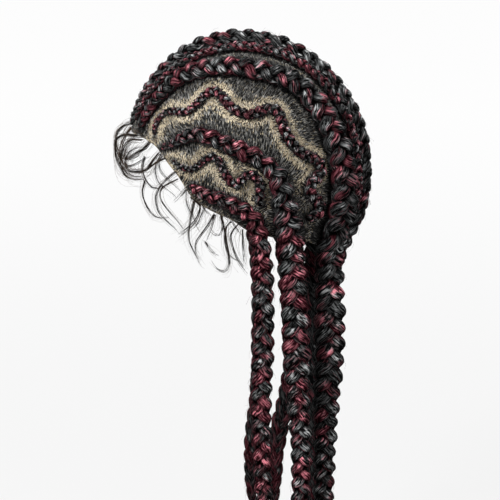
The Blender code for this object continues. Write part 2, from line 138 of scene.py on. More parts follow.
UPPER_ZIGZAG_ROUTE = rows_of(
    Side, (-73, 44), (-71, 52), (-66, 59), (-59, 63), (-51, 63), (-44, 65), (-37, 71), (-31, 77),
    (-25, 80), (-19, 77), (-13, 70), (-5, 65), (5, 63), (12, 65), (20, 67), (26, 64), (29, 56),
    (33, 46), (39, 37), (47, 30), (56, 26), (60, 21), (60, 14), (54, 8), (50, 2), (54, -4),
    (59, -10), (60, -17), (55, -21), (49, -22),
)
UPPER_ZIGZAG_WIDTHS = rows_of(
    Width, (0, 4.2), (40, 5.5), (80, 7), (120, 8), (200, 8.8), (260, 9),
)

SIDE_ROUTE = rows_of(
    Side, (-67, 34), (-61, 37), (-53, 41), (-44, 46), (-34, 47), (-24, 44), (-12, 39), (0, 34),
    (10, 29), (18, 23), (24, 15), (27, 5), (29, -7), (31, -18), (33, -29), (34, -38),
)
SIDE_HANG_LEFT = rows_of(
    Hang, (36.5, -50, 75), (37.5, -64, 73.5), (39.5, -85, 73), (41.5, -108, 73), (42.5, -150, 73),
    (44.5, -185, 73), (46.5, -215, 73), (47, -260, 73), (47.5, TIP_UP_MM, 73),
)
SIDE_HANG_RIGHT = rows_of(
    Hang, (37.5, -50, 75), (41, -64, 73.5), (46.5, -85, 72.5), (50, -110, 72), (51, -150, 72),
    (50.5, -190, 72), (45.5, -225, 72), (37.5, -258, 72), (33.5, -290, 72), (32.5, TIP_UP_MM, 72),
)
SIDE_WIDTHS = rows_of(
    Width, (0, 5), (15, 8), (30, 11), (45, 13), (70, 14.5), (100, 15.5), (120, 18), (142, 21.5),
    (165, 23.5), (195, 24.3), (245, 24.6), (270, 22.8), (300, 20.5), (335, 18.6), (365, 17.5),
    (450, 16),
)

LOWER_ZIGZAG_ROUTE = rows_of(
    Side, (-58, 25), (-51, 21), (-43, 20), (-35, 26), (-27, 31), (-21, 27), (-17, 18), (-10, 9),
    (-4, 12), (1, 17), (7, 16), (11, 9), (11, 2), (10, -4), (12, -9),
)
LOWER_ZIGZAG_WIDTHS = rows_of(Width, (0, 4.2), (30, 5.5), (60, 7), (120, 8.5))

HAIRLINE_ROUTE = rows_of(
    Side, (-44, 7), (-37, 3), (-30, 0), (-22, -2), (-13, -5), (-6, -9), (1, -14), (6, -21),
    (9, -30), (10, -36),
)
HAIRLINE_HANG_LEFT = rows_of(
    Hang, (11.5, -48, 80), (13, -64, 78.5), (14, -90, 78), (14, -122, 78), (13, -150, 78),
    (12, -180, 78), (13.5, -215, 78), (14.5, -245, 78), (16.5, -290, 78), (16.5, TIP_UP_MM, 78),
)
HAIRLINE_HANG_RIGHT = rows_of(
    Hang, (12.5, -48, 80), (15, -64, 79), (19, -85, 79), (21.5, -110, 79), (22, -150, 79),
    (21, -195, 79), (18.5, -228, 79), (14.5, -262, 79), (13, -295, 79), (13, TIP_UP_MM, 79),
)
HAIRLINE_WIDTHS = rows_of(
    Width, (0, 6), (12, 10), (30, 12.5), (50, 13.5), (70, 16), (85, 18.2), (125, 18.3),
    (160, 18.7), (182, 19.3), (205, 18.6), (228, 18.3), (250, 16.8), (290, 16), (365, 14.5),
)

# The braids, with the solids that each one stands for, their routes and widths, and how much of
# their hair is burgundy on the head and where they hang
Braid = namedtuple("Braid", "name nodes route hang side widths flatness big red hang_red")


def braid_rows():
    made = [
        Braid("crown_braid", ("crown_cornrow", "crown_plait"), CROWN_ROUTE, CROWN_HANG, 1,
              CROWN_WIDTHS, BIG_FLATNESS, True, 0.17, 0.36),
    ]
    hangs = {
        "left": (1, SIDE_HANG_LEFT, HAIRLINE_HANG_LEFT),
        "right": (-1, SIDE_HANG_RIGHT, HAIRLINE_HANG_RIGHT),
    }
    for word, (side, side_hang, hairline_hang) in hangs.items():
        big = (
            ("upper_braid", "upper_cornrow", "rear_plait", UPPER_ROUTE, UPPER_HANG,
             UPPER_WIDTHS, 0.35, 0.27),
            ("side_braid", "side_cornrow", "middle_plait", SIDE_ROUTE, side_hang, SIDE_WIDTHS,
             0.38, 0.48),
            ("hairline_braid", "hairline_cornrow", "front_plait", HAIRLINE_ROUTE, hairline_hang,
             HAIRLINE_WIDTHS, 0.55, 0.50),
        )
        for name, cornrow, plait, route, hang, widths, red, hang_red in big:
            nodes = (f"{cornrow}_{word}", f"{plait}_{word}")
            made.append(
                Braid(f"{name}_{word}", nodes, route, hang, side, widths, BIG_FLATNESS, True,
                      red, hang_red)
            )
        thin = (
            ("upper_thin_cornrow", UPPER_THIN_ROUTE, UPPER_THIN_WIDTHS, 0.42),
            ("upper_zigzag_cornrow", UPPER_ZIGZAG_ROUTE, UPPER_ZIGZAG_WIDTHS, 0.39),
            ("lower_zigzag_cornrow", LOWER_ZIGZAG_ROUTE, LOWER_ZIGZAG_WIDTHS, 0.36),
        )
        for node, route, widths, red in thin:
            made.append(
                Braid(f"woven_{node}_{word}", (f"{node}_{word}",), route, [], side, widths,
                      THIN_FLATNESS, False, red, red)
            )
    return made


BRAIDS = braid_rows()

# How far apart one side's lobes are at a braid's width, in mm
Pitch = namedtuple("Pitch", "width pitch")
LOBE_PITCHES = rows_of(
    Pitch, (0, 2.6), (5, 3.6), (9, 6.4), (13, 11.0), (16, 13.0), (20, 13.8), (24, 14.4)
)
THIN_LOBE_PITCHES = rows_of(Pitch, (0, 3.2), (5, 4.6), (9, 7.2))


# Surfaces


def nape_tuck(places):
    """How far forward the surface is drawn in at places of the plain ellipsoid."""
    low = (NAPE_TUCK_BEGINS_UP - places[:, 2]) / (NAPE_TUCK_BEGINS_UP - NAPE_TUCK_FULL_UP)
    low = np.clip(low, 0, 1)
    across, back = places[:, 0] / HEAD[0], places[:, 1] / HEAD[1]
    share = np.clip(back, 0, None) / np.maximum(np.hypot(across, back), 1e-9)
    return NAPE_TUCK * low**2 * share**NAPE_TUCK_FALL


def tucked(places):
    moved = places.copy()
    moved[:, 1] -= nape_tuck(places)
    return moved


def untucked(places):
    plain = places.copy()
    for _ in range(UNTUCK_ROUNDS):
        plain[:, 1] = places[:, 1] + nape_tuck(plain)
    return plain


def onto_head(places):
    """Places moved straight from the head's centre onto its surface."""
    plain = untucked(places)
    return tucked(plain / np.linalg.norm(plain / HEAD, axis=1)[:, None])


def surface_normal(places, levelled=True):
    """The surface's outward direction, turned level and to the side for what hangs."""
    gradient = np.empty_like(places)
    for axis in range(3):
        step = np.zeros(3)
        step[axis] = FINE_STEP
        ahead = np.linalg.norm(untucked(places + step) / HEAD, axis=1)
        behind = np.linalg.norm(untucked(places - step) / HEAD, axis=1)
        gradient[:, axis] = ahead - behind
    if levelled:
        share = (places[:, 2] - HANG_UPRIGHT_UP) / (HANG_BEGINS_UP - HANG_UPRIGHT_UP)
        gradient[:, 2] *= eased(share)
        low = eased((HANG_BEGINS_UP - places[:, 2]) / (HANG_BEGINS_UP - FACE_SIDE_FULL_UP))
        span = FACE_SIDE_FULL_OUT - FACE_SIDE_FROM_OUT
        gradient[:, 1] *= 1 - low * eased((np.abs(places[:, 0]) - FACE_SIDE_FROM_OUT) / span)
    return unit(gradient)


def unit(vectors):
    return vectors / np.maximum(np.linalg.norm(vectors, axis=-1, keepdims=True), 1e-12)


def eased(share):
    share = np.clip(share, 0, 1)
    return share * share * (3 - 2 * share)


def dot(first, second):
    return np.sum(first * second, axis=-1, keepdims=True)


def place_of(point, side):
    """The place on the head's surface that a route's row names, on the left with side 1."""
    if isinstance(point, Profile):
        up_profile = math.radians(point.profile_deg)
        to_side = math.radians(point.side_deg)
        plain = HEAD * (
            side * math.sin(to_side),
            -math.cos(to_side) * math.cos(up_profile),
            math.cos(to_side) * math.sin(up_profile),
        )
    else:
        back, up = point.back * MM, point.up * MM
        out_share = math.sqrt(1 - (back / HEAD[1]) ** 2 - (up / HEAD[2]) ** 2)
        plain = np.array((side * HEAD[0] * out_share, back, up))
    return tucked(plain[None])[0]


def smooth_curve(points, step):
    """Places about a step apart on a smooth curve through points, and each one's point number."""
    places, numbers = [], []
    last = len(points) - 1
    for index in range(last):
        before, start = points[max(0, index - 1)], points[index]
        end, after = points[index + 1], points[min(last, index + 2)]
        count = max(2, round(float(np.linalg.norm(end - start)) / step))
        t = (np.arange(count) / count)[:, None]
        places.append(
            0.5
            * (
                2 * start
                + t * (end - before)
                + t**2 * (2 * before - 5 * start + 4 * end - after)
                + t**3 * (3 * start - before - 3 * end + after)
            )
        )
        numbers.append(np.full(count, index))
    places.append(points[last][None])
    numbers.append(np.array([last]))
    return np.concatenate(places), np.concatenate(numbers)


def averaged(places, reach):
    """Each place moved to the middle of its neighbours, with the two ends left where they are."""
    last = len(places) - 1
    index = np.arange(last + 1)
    near = np.minimum(reach, np.minimum(index, last - index))
    sums = np.concatenate([np.zeros((1, 3)), np.cumsum(places, axis=0)])
    return (sums[index + near + 1] - sums[index - near]) / (2 * near + 1)[:, None]


def foot_line(braid):
    """The fine line under a braid: on the head first, then straight on where it hangs."""
    points = [place_of(point, braid.side) for point in braid.route]
    height = max(row.width for row in braid.widths) * MM * braid.flatness
    for row in braid.hang:
        centre = np.array((braid.side * row.out, row.back, row.up)) * MM
        points.append(centre - surface_normal(centre[None])[0] * (SCALP_GAP + height / 2))
    fine, numbers = smooth_curve(np.array(points), FINE_STEP)
    on_head = numbers < len(braid.route) - 1
    fine[on_head] = onto_head(fine[on_head])
    fine = averaged(fine, round(SMOOTHING_REACH / FINE_STEP))
    fine[on_head] = onto_head(fine[on_head])
    return fine, on_head


Stations = namedtuple("Stations", "place outward across forward along width scale")


def lengths_along(line):
    steps = np.linalg.norm(np.diff(line, axis=0), axis=1)
    return np.concatenate([[0.0], np.cumsum(steps)])


def table_at(table, values):
    """The second column of a table in mm, read straight between its rows."""
    return np.interp(values, [row[0] * MM for row in table], [row[1] * MM for row in table])


def stations_along(line, widths, step, tip_taper):
    lengths = lengths_along(line)
    along = np.linspace(0, lengths[-1], round(lengths[-1] / step) + 1)
    place = np.stack([np.interp(along, lengths, line[:, axis]) for axis in range(3)], axis=1)
    index = np.clip(np.searchsorted(lengths, along), 1, len(line) - 1)
    low = np.maximum(0, index - DIRECTION_REACH)
    high = np.minimum(len(line) - 1, index + DIRECTION_REACH - 1)
    forward = unit(line[high] - line[low])
    across = unit(np.cross(forward, surface_normal(place)))
    outward = np.cross(across, forward)
    scale = np.ones(len(along))
    front = along < FRONT_TAPER
    scale[front] = FRONT_WIDTH_SHARE + (1 - FRONT_WIDTH_SHARE) * np.sqrt(along[front] / FRONT_TAPER)
    from_tip = along[-1] - along
    tip = from_tip < tip_taper
    scale[tip] = TIP_WIDTH_SHARE + (1 - TIP_WIDTH_SHARE) * np.sqrt(from_tip[tip] / tip_taper)
    return Stations(place, outward, across, forward, along, table_at(widths, along), scale)


def cap_edge_down(round_deg):
    """How far down from the crown the cap reaches, eased between the table's rows."""
    last = len(CAP_EDGE) - 1
    index = 0
    while index < last - 1 and CAP_EDGE[index + 1].round_deg <= round_deg:
        index += 1
    start, end = CAP_EDGE[index], CAP_EDGE[index + 1]
    before = CAP_EDGE[index - 1] if index else EdgePoint(-end.round_deg, end.down_deg)
    after = EdgePoint(360 - start.round_deg, start.down_deg)
    if index + 2 <= last:
        after = CAP_EDGE[index + 2]
    span = end.round_deg - start.round_deg
    t = (round_deg - start.round_deg) / span
    slope_in = (end.down_deg - before.down_deg) / (end.round_deg - before.round_deg) * span
    slope_out = (after.down_deg - start.down_deg) / (after.round_deg - start.round_deg) * span
    return (
        (2 * t**3 - 3 * t**2 + 1) * start.down_deg
        + (t**3 - 2 * t**2 + t) * slope_in
        + (3 * t**2 - 2 * t**3) * end.down_deg
        + (t**3 - t**2) * slope_out
    )


def cap_angles(places):
    """How far round from the forehead and how far down from the crown places lie."""
    units = unit(untucked(places) / HEAD)
    round_deg = np.degrees(np.arctan2(np.abs(units[:, 0]), -units[:, 1]))
    return round_deg, np.degrees(np.arccos(np.clip(units[:, 2], -1, 1)))


EDGE_DEG = np.arange(0, 181, 1.0)
EDGE_DOWN = np.array([cap_edge_down(angle) for angle in EDGE_DEG])
MEAN_HEAD_RADIUS = 0.1
DEGREE_LENGTH = math.radians(1) * MEAN_HEAD_RADIUS


def inside_edge(places):
    """How far inside the cap's edge places on the head lie, in metres."""
    round_deg, down_deg = cap_angles(places)
    return (np.interp(round_deg, EDGE_DEG, EDGE_DOWN) - down_deg) * DEGREE_LENGTH


# Meshes


def mesh_object(name, places, quads, triangles, points, finishes, corners=None):
    """A smooth mesh with its values on points and face corners, riding on the wig's one body."""
    quads = np.asarray(quads, np.int32).reshape(-1, 4)
    triangles = np.asarray(triangles, np.int32).reshape(-1, 3)
    data = bpy.data.meshes.new(name)
    data.vertices.add(len(places))
    data.vertices.foreach_set("co", np.ascontiguousarray(places, np.float32).ravel())
    indices = np.concatenate([quads.ravel(), triangles.ravel()])
    data.loops.add(len(indices))
    data.loops.foreach_set("vertex_index", indices)
    starts = np.concatenate(
        [np.arange(len(quads)) * 4, len(quads) * 4 + np.arange(len(triangles)) * 3]
    )
    data.polygons.add(len(starts))
    data.polygons.foreach_set("loop_start", starts.astype(np.int32))
    data.update(calc_edges=True)
    for domain, table in (("POINT", points), ("CORNER", corners or {})):
        for key, values in table.items():
            kind, field = ("FLOAT_VECTOR", "vector") if values.ndim == 2 else ("FLOAT", "value")
            layer = data.attributes.new(key, kind, domain)
            layer.data.foreach_set(field, np.ascontiguousarray(values, np.float32).ravel())
    data.shade_smooth()
    for finish in finishes:
        data.materials.append(finish)
    made = bpy.data.objects.new(name, data)
    bpy.context.scene.collection.objects.link(made)
    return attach(made, "root")


def tube_faces(tubes, rings, sides):
    """Quads round tubes that lie one after another, each with its rings in order."""
    tube = np.arange(tubes)[:, None, None] * rings * sides
    ring = np.arange(rings - 1)[None, :, None] * sides
    side = np.arange(sides)[None, None, :]
    here = tube + ring + side
    beside = tube + ring + (side + 1) % sides
    return np.stack([here, beside, beside + sides, here + sides], axis=-1).reshape(-1, 4)


def end_fans(tubes, rings, sides):
    """Triangles that close tubes, each end to a middle place that is numbered after all rings."""
    fans = []
    for end in range(2 * tubes):
        first = ((end // 2) * rings + (end % 2) * (rings - 1)) * sides
        ring = np.arange(first, first + sides)
        pair = (ring, np.roll(ring, -1)) if end % 2 else (np.roll(ring, -1), ring)
        fans.append(np.stack([*pair, np.full(sides, tubes * rings * sides + end)], axis=1))
    return np.concatenate(fans)


def with_ends(rows):
    """Tubes' vectors in one list, then the mean of each tube's first ring and of its last."""
    ends = rows[:, [0, -1]].mean(axis=2)
    return np.concatenate([rows.reshape(-1, 3), ends.reshape(-1, 3)])


def disc_faces(rings, sides):
    """Quads between the rings round a middle place, one after another, and the middle's fan."""
    ring = np.arange(rings - 1)[:, None] * sides + 1
    side = np.arange(sides)[None]
    here, beside = ring + side, ring + (side + 1) % sides
    quads = np.stack([here, here + sides, beside + sides, beside], -1).reshape(-1, 4)
    first = np.arange(sides) + 1
    return quads, np.stack([np.zeros(sides, int), first, np.roll(first, -1)], 1)


def fibre_mesh(name, paths, outward, radii, points, finish):
    """Thin closed three-sided hairs. paths is hairs by rings by 3, and radii hairs by rings."""
    count, rings = paths.shape[:2]
    tangent = np.empty_like(paths)
    tangent[:, 1:-1] = paths[:, 2:] - paths[:, :-2]
    tangent[:, 0] = paths[:, 1] - paths[:, 0]
    tangent[:, -1] = paths[:, -1] - paths[:, -2]
    tangent = unit(tangent)
    up = unit(outward - dot(outward, tangent) * tangent)
    beside = np.cross(tangent, up)
    places = np.empty((count, rings, 3, 3))
    for side in range(3):
        turn = math.radians(90 + 120 * side)
        places[:, :, side] = paths + radii[..., None] * (
            math.cos(turn) * beside + math.sin(turn) * up
        )
    quads = tube_faces(count, rings, 3)
    first = np.arange(count) * rings * 3
    last = first + (rings - 1) * 3
    caps = np.concatenate(
        [np.stack([first + 2, first + 1, first], 1), np.stack([last, last + 1, last + 2], 1)]
    )
    share = np.broadcast_to(np.linspace(0, 1, rings)[None, :, None], (count, rings, 3))
    values = {"share": share.reshape(-1)}
    for key, row in points.items():
        values[key] = np.repeat(row, rings * 3)
    return mesh_object(name, places.reshape(-1, 3), quads, caps, values, [finish])


# Shaders


class Socket:
    """An output of a shader node that Python's operators work on."""

    def __init__(self, finish, output):
        self.finish = finish
        self.output = output

    def maths(self, operation, *values):
        return self.finish.node("Math", {"operation": operation}, dict(enumerate(values)))

    def __add__(self, other):
        return self.maths("ADD", self, other)

    def __sub__(self, other):
        return self.maths("SUBTRACT", self, other)

    def __rsub__(self, other):
        return self.maths("SUBTRACT", other, self)

    def __mul__(self, other):
        return self.maths("MULTIPLY", self, other)

    __radd__ = __add__
    __rmul__ = __mul__

    def step(self, low, high):
        """0 below low and 1 above high, eased between them."""
        return self.finish.node(
            "MapRange",
            {"interpolation_type": "SMOOTHSTEP"},
            {"Value": self, "From Min": low, "From Max": high},
        )

    def scaled(self, *sizes):
        """A vector with each of its parts multiplied."""
        return self.finish.node("VectorMath", {"operation": "MULTIPLY"}, {0: self, 1: sizes})


class Finish:
    """A material, with one method that adds any node."""

    def __init__(self, name):
        self.material = bpy.data.materials.new(name)
        self.material.use_nodes = True
        self.tree = self.material.node_tree
        self.shader = self.tree.nodes["Principled BSDF"]

    def node(self, kind, settings, values, output=0):
        made = self.tree.nodes.new("ShaderNode" + kind)
        for key, value in settings.items():
            if key == "stops":
                self.set_stops(made.color_ramp, value)
            else:
                setattr(made, key, value)
        for key, value in values.items():
            self.feed(made.inputs[key], value)
        return Socket(self, made.outputs[output])

    def feed(self, target, value):
        if isinstance(value, Socket):
            self.tree.links.new(value.output, target)
        else:
            target.default_value = value

    @staticmethod
    def set_stops(ramp, stops):
        while len(ramp.elements) < len(stops):
            ramp.elements.new(1.0)
        for element, (place, colour) in zip(ramp.elements, stops):
            element.position = place
            element.color = rgba(colour)

    def attribute(self, name, output):
        return self.node("Attribute", {"attribute_name": name}, {}, output)

    def noise(self, vector, scale, detail, w=None):
        settings = {"noise_dimensions": "3D" if w is None else "4D"}
        values = {"Vector": vector, "Scale": scale, "Detail": detail}
        if w is not None:
            values["W"] = w
        return self.node("TexNoise", settings, values)

    def mix(self, factor, first, second):
        """One colour turned into another by a factor."""
        values = {0: factor, 6: rgba(first), 7: rgba(second)}
        return self.node("Mix", {"data_type": "RGBA"}, values, 2)

    def bump(self, height, distance, strength):
        values = {"Height": height, "Distance": distance, "Strength": strength}
        return self.node("Bump", {}, values)

    def surface(self, **values):
        for key, value in values.items():
            self.feed(self.shader.inputs[key.replace("_", " ")], value)
        return self.material


def rgba(colour):
    return colour if isinstance(colour, Socket) else (*tuple(colour)[:3], 1)


# The grains that a braid's look is mixed from: how close they are across and along its fibres,
# their detail, and how they are shifted from one strand to the next
Grain = namedtuple("Grain", "across along detail apart start")
FINE = Grain(1.9, 0.34, 2.0, 7.3, 0)
CLUMP = Grain(1.2, 0.30, 4.0, 3.1, 5)
PATCH = Grain(0.15, 0.075, 1.5, 1.7, 11)
LOBE = Grain(0.09, 0.10, 1.0, 5.3, 17)
HAIRS = Grain(6.0, 0.16, 2.0, 2.9, 0)
SHEEN = Grain(0.24, 0.17, 1.0, 4.1, 23)
THIN_BRAID_CLOSER = 1.9


def braid_finish(name, big, colours):
    """Glossy fibres that run along each strand, black with streaks and patches of burgundy."""
    # The base colour carries painted highlights on the lobes and painted shade in the crevices
    made = Finish(name)
    fibre = made.attribute("fibre", "Vector")
    strand, crest, mound, red_share = (
        made.attribute(key, "Fac") for key in ("strand", "crest", "mound", "red")
    )
    close = 1.0 if big else THIN_BRAID_CLOSER
    fine, clump, patch, lobe, hairs, sheen = (
        made.noise(
            fibre.scaled(row.across * close, row.across * close, row.along * close),
            1.0,
            row.detail,
            strand * row.apart + row.start,
        )
        for row in (FINE, CLUMP, PATCH, LOBE, HAIRS, SHEEN)
    )
    # Where the fibres are burgundy: more of them where the braid's share of it is higher
    mixed = patch * 0.62 + clump * 0.22 + fine * 0.16
    threshold = 0.5 + (0.5 - red_share) * 0.22
    red = ((mixed - threshold) * 14 + 0.4).step(0.0, 1.0)
    # A dim painted light all over the strands, and painted highlights on their lobes, both broken by
    # the grain
    grain = (fine * 0.42 + clump * 0.48 + hairs * 0.10).step(0.465, 0.58)
    # Painted shade: the crevice colour taken in where a place lies deep inside the braid, between its
    # strands
    shade = crest.step(0.54, 0.86)
    body = mound.step(-0.1, 0.62) * (0.001 + grain * 0.150)
    lit = mound * 0.8 + (clump - 0.5) * 1.4 + (sheen - 0.5) * 1.6
    spot = lit.step(0.50, 1.05) * (0.02 + grain * 1.08)
    gleam = (body + spot * (0.15 + lobe.step(0.36, 0.62) * 0.85)) * shade
    black = made.mix(gleam, colours.black_deep, colours.black_lit)
    burgundy = made.mix(gleam, colours.burgundy_deep, colours.burgundy_lit)
    return made.surface(
        Base_Color=made.mix(shade, colours.crevice_shade, made.mix(red, black, burgundy)),
        Roughness=0.70 - gleam * 0.30,
        Specular_IOR_Level=0.0,
        Coat_Weight=gleam * 0.70,
        Coat_Roughness=0.34,
        Normal=made.bump(fine * 0.6 + clump * 0.25 + hairs * 0.15, 0.0016, 1.0),
    )


def loose_hair_finish(name, colours):
    """Single dark hairs, some of them burgundy or brown."""
    made = Finish(name)
    tone = made.attribute("tone", "Fac")
    stops = [
        (0.0, colours.black_deep),
        (0.62, colours.loose_hair_lit),
        (0.80, colours.burgundy_deep),
        (1.0, colours.loose_burgundy_lit),
    ]
    own = made.node("ValToRGB", {"stops": stops}, {"Fac": tone})
    return made.surface(
        Base_Color=made.mix(made.attribute("share", "Fac") * 0.35, own, colours.black_deep),
        Roughness=0.38 + tone * 0.2,
        Specular_IOR_Level=0.30,
    )


def flat_hair_finish(name, colours):
    """Short combed hairs, most of them black and some grey where they catch light."""
    made = Finish(name)
    tone = made.attribute("tone", "Fac")
    return made.surface(
        Base_Color=made.mix(tone.step(0.70, 0.95), colours.black_deep, colours.flat_hair_lit),
        Roughness=0.45 + tone * 0.1,
        Specular_IOR_Level=0.2,
    )


def baby_hair_finish(name, colours):
    """Fine dark brown hairs."""
    made = Finish(name)
    tone = made.attribute("tone", "Fac")
    return made.surface(
        Base_Color=made.mix(tone, colours.black_deep, colours.baby_hair),
        Roughness=0.5 + tone * 0.1,
        Specular_IOR_Level=0.12,
    )


# How close the lace's holes and the knots in it are
LACE_MESH_SCALE = 1250.0
KNOT_SCALE = 620.0


def lace_threads(made, place, tint_scale, thread_share, colours):
    """Where the lace's threads run, and the lace's colour with its threads lighter."""
    values = {"Vector": place, "Scale": LACE_MESH_SCALE}
    mesh = made.node("TexVoronoi", {"feature": "DISTANCE_TO_EDGE"}, values)
    thread = 1 - mesh.step(0.02, 0.16)
    tint = made.noise(place, tint_scale, 3.0)
    lace = made.mix(tint.step(0.35, 0.65), colours.lace_shade, colours.lace)
    return thread, made.mix(thread * thread_share, lace, colours.lace_lit)


def combed_finish(name, colours):
    """The cap's outside: beige lace, and fine hair combed across it toward the braids."""
    made = Finish(name)
    comb = made.attribute("comb", "Vector")
    cover = made.attribute("cover", "Fac")
    edge = made.attribute("edge", "Fac")
    place = made.node("TexCoord", {}, {}, "Object")
    streak = made.noise(comb.scaled(1.5, 0.32, 1.0), 1.0, 3.0)
    clump = made.noise(comb.scaled(0.50, 0.13, 1.0), 1.0, 2.0)
    hair = (cover + (streak - 0.5) * 4.2 + (clump - 0.5) * 1.4).step(0.34, 0.62)
    thread, lace = lace_threads(made, place, 90.0, 0.35, colours)
    specks = 1 - made.noise(comb.scaled(1.2, 0.6, 1.0), 1.0, 3.0).step(0.42, 0.52)
    lace = made.mix(specks * 0.9, lace, colours.baby_hair)
    dots = made.node("TexVoronoi", {"feature": "F1"}, {"Vector": place, "Scale": KNOT_SCALE})
    knots = (1 - dots.step(0.22, 0.34)) * edge.step(1.2, 3.2) * (1 - edge.step(6.5, 9.0))
    lace = made.mix(knots * 0.8, lace, colours.black_lit)
    # Painted highlights on the combed hair, darkened by painted shade wherever the cover runs past
    # full, beside the braids and low on the nape
    glint = made.noise(comb.scaled(1.8, 0.24, 1.0), 1.0, 3.0)
    shaded = 1 - cover.step(0.95, 1.35) * 0.85
    dark = made.mix(glint.step(0.53, 0.62) * shaded, colours.black_deep, colours.flat_hair_lit)
    return made.surface(
        Base_Color=made.mix(hair, lace, dark),
        Roughness=0.82 - hair * 0.30,
        Specular_IOR_Level=0.10,
        Normal=made.bump(streak * 0.8 + thread * 0.2, 0.0005, 0.7),
    )


def lace_finish(name, colours):
    """The cap's inside and rim: a plain fine lace mesh."""
    made = Finish(name)
    place = made.node("TexCoord", {}, {}, "Object")
    thread, lace = lace_threads(made, place, 60.0, 0.4, colours)
    return made.surface(Base_Color=lace, Roughness=0.88, Normal=made.bump(thread, 0.0003, 0.5))


def plain_stage_finish(name, colour):
    """A pale matt backdrop that glows, a little less in the middle of the floor."""
    made = Finish(name)
    place = made.node("TexCoord", {}, {}, "Object")
    away = made.node("VectorMath", {"operation": "LENGTH"}, {0: place}, 1)
    darker = [part * FLOOR_MIDDLE_SHARE for part in colour]
    return made.surface(
        Base_Color=rgba([part * FLOOR_MATT_SHARE for part in colour]),
        Roughness=0.9,
        Specular_IOR_Level=0.0,
        Emission_Color=made.mix(away.step(*FLOOR_MIDDLE_OUT), darker, colour),
        Emission_Strength=1.0,
    )


# Sizes and colours that a user would change


def length(name, description, default):
    return FloatProperty(
        name=name, description=description, default=default, min=0, unit="LENGTH", precision=5
    )


def share(name, description, default):
    return FloatProperty(
        name=name, description=description, default=default, min=0, max=1, subtype="FACTOR"
    )


def colour(name, description, default):
    return FloatVectorProperty(
        name=name, description=description, default=default, size=3, min=0, max=1, subtype="COLOR"
    )


class BraidSizes(bpy.types.PropertyGroup):
    """How the strands of a braid are woven, as shares of its width."""

    strand_spread: share("Strand spread", "How far a strand swings to each side", 0.268)
    strand_turn: share("Strand turn", "How sharply a strand turns at the braid's sides", 0.08)
    strand_back: share("Strand set-back", "How far a strand lies back at the sides", 0.22)
    strand_wrap: share("Strand wrap", "How squarely a strand goes round the sides", 0.03)
    strand_lift: share("Strand lift", "How far a strand rises and sinks", 0.162)
    flat_top: share("Flat top", "How long a strand stays at its highest", 0.13)
    strand_half_width: share("Strand half width", "Half a strand's width", 0.256)
    strand_half_height: share("Strand half height", "Half a strand's thickness", 0.188)
    swell: share("Swell", "How much a strand swells on its lobes", 0.035)
    front_swell: share("Front swell", "How much more it swells on the outside", 0.03)
    edge_thick: share("Edge thickness", "How much thicker it is at the sides", 0.30)
    edge_narrow: share("Edge narrowing", "How much narrower it is at the sides", 0.12)
    roundness: share("Roundness", "1 is a round strand, less is fuller at its corners", 0.82)
    dome: share("Dome", "How tightly a cornrow is curved over, as a radius", 0.75)
    stray: share("Stray", "How far a strand wanders", 0.020)
    uneven: share("Uneven lobes", "How much the lobes' lengths vary, in radians", 0.22)
    uneven_swell: share("Uneven swell", "How much a strand's thickness varies", 0.10)
    ridge: share("Fibre ridge", "How deep the ridges along a strand are", 0.045)
    big_step: length("Big braid step", "Distance between rings of a big braid", 0.0015)
    thin_step: length("Thin braid step", "Distance between rings of a thin braid", 0.0008)
    big_sides: IntProperty(
        name="Big strand sides", description="Points round a strand", default=28, min=6
    )
    thin_sides: IntProperty(
        name="Thin strand sides", description="Points round a thin strand", default=10, min=6
    )


class CapSizes(bpy.types.PropertyGroup):
    """The lace cap and the hair that lies on it."""

    wall: length("Wall", "Thickness of the lace", 0.0011)
    parting: length("Parting", "How far the pale parting bands fade out", 0.0068)
    parting_away: length("Parting distance", "From a thin cornrow to its parting", 0.0045)
    thin_cover: share("Parting hair", "How much hair crosses the partings", 0.34)
    lean: share("Lean", "How far flat hair leans along the braids", 0.30)
    border: length("Lace border", "Width of the bare lace along the edge", 0.0004)
    hair_length: length("Flat hair", "Longest hair that lies on the cap", 0.0105)
    hair_radius: length("Hair radius", "Half the thickness of a flat hair", 0.00014)
    baby_radius: length("Baby hair radius", "Half the thickness of a baby hair", 0.00030)
    wisp_radius: length("Wisp radius", "Half the thickness of the finest baby hairs", 0.00010)
    baby_fullness: FloatProperty(
        name="Baby hair fullness", description="How many hairs each lock has", default=3.4, min=0
    )
    hair_count: IntProperty(
        name="Flat hairs", description="How many hairs are tried on the cap", default=16000, min=0
    )
    flyaway_count: IntProperty(
        name="Flyaways", description="Loose hairs that stand off the braids", default=6000, min=0
    )


class HairColours(bpy.types.PropertyGroup):
    """Colours of the hair, the lace and the floor."""

    black_deep: colour("Black, deep", "Black hair in its own shade", (0.0014, 0.0015, 0.0016))
    black_lit: colour("Black, lit", "Black hair where it catches light", (0.45, 0.465, 0.47))
    burgundy_deep: colour("Burgundy, deep", "Burgundy hair in shade", (0.014, 0.0020, 0.0035))
    burgundy_lit: colour("Burgundy, lit", "Burgundy hair in light", (0.80, 0.235, 0.29))
    # Painted shade, put where strands press together deep in the braids
    crevice_shade: colour("Crevice", "Where strands press together", (0.0006, 0.0005, 0.0005))
    flat_hair_lit: colour("Flat hair, lit", "Combed hair in light", (0.310, 0.304, 0.288))
    loose_hair_lit: colour("Loose hair, lit", "Loose black hairs", (0.060, 0.058, 0.056))
    loose_burgundy_lit: colour("Loose burgundy, lit", "Loose red hairs", (0.20, 0.045, 0.055))
    baby_hair: colour("Baby hair", "Baby hairs in light", (0.085, 0.050, 0.030))
    lace: colour("Lace", "The lace mesh", (0.58, 0.50, 0.355))
    lace_shade: colour("Lace, shaded", "The lace mesh where it is darker", (0.24, 0.20, 0.13))
    lace_lit: colour("Lace thread", "The lace mesh's threads", (0.72, 0.64, 0.47))
    floor: colour("Floor", "The floor and backdrop", (0.965, 0.965, 0.965))


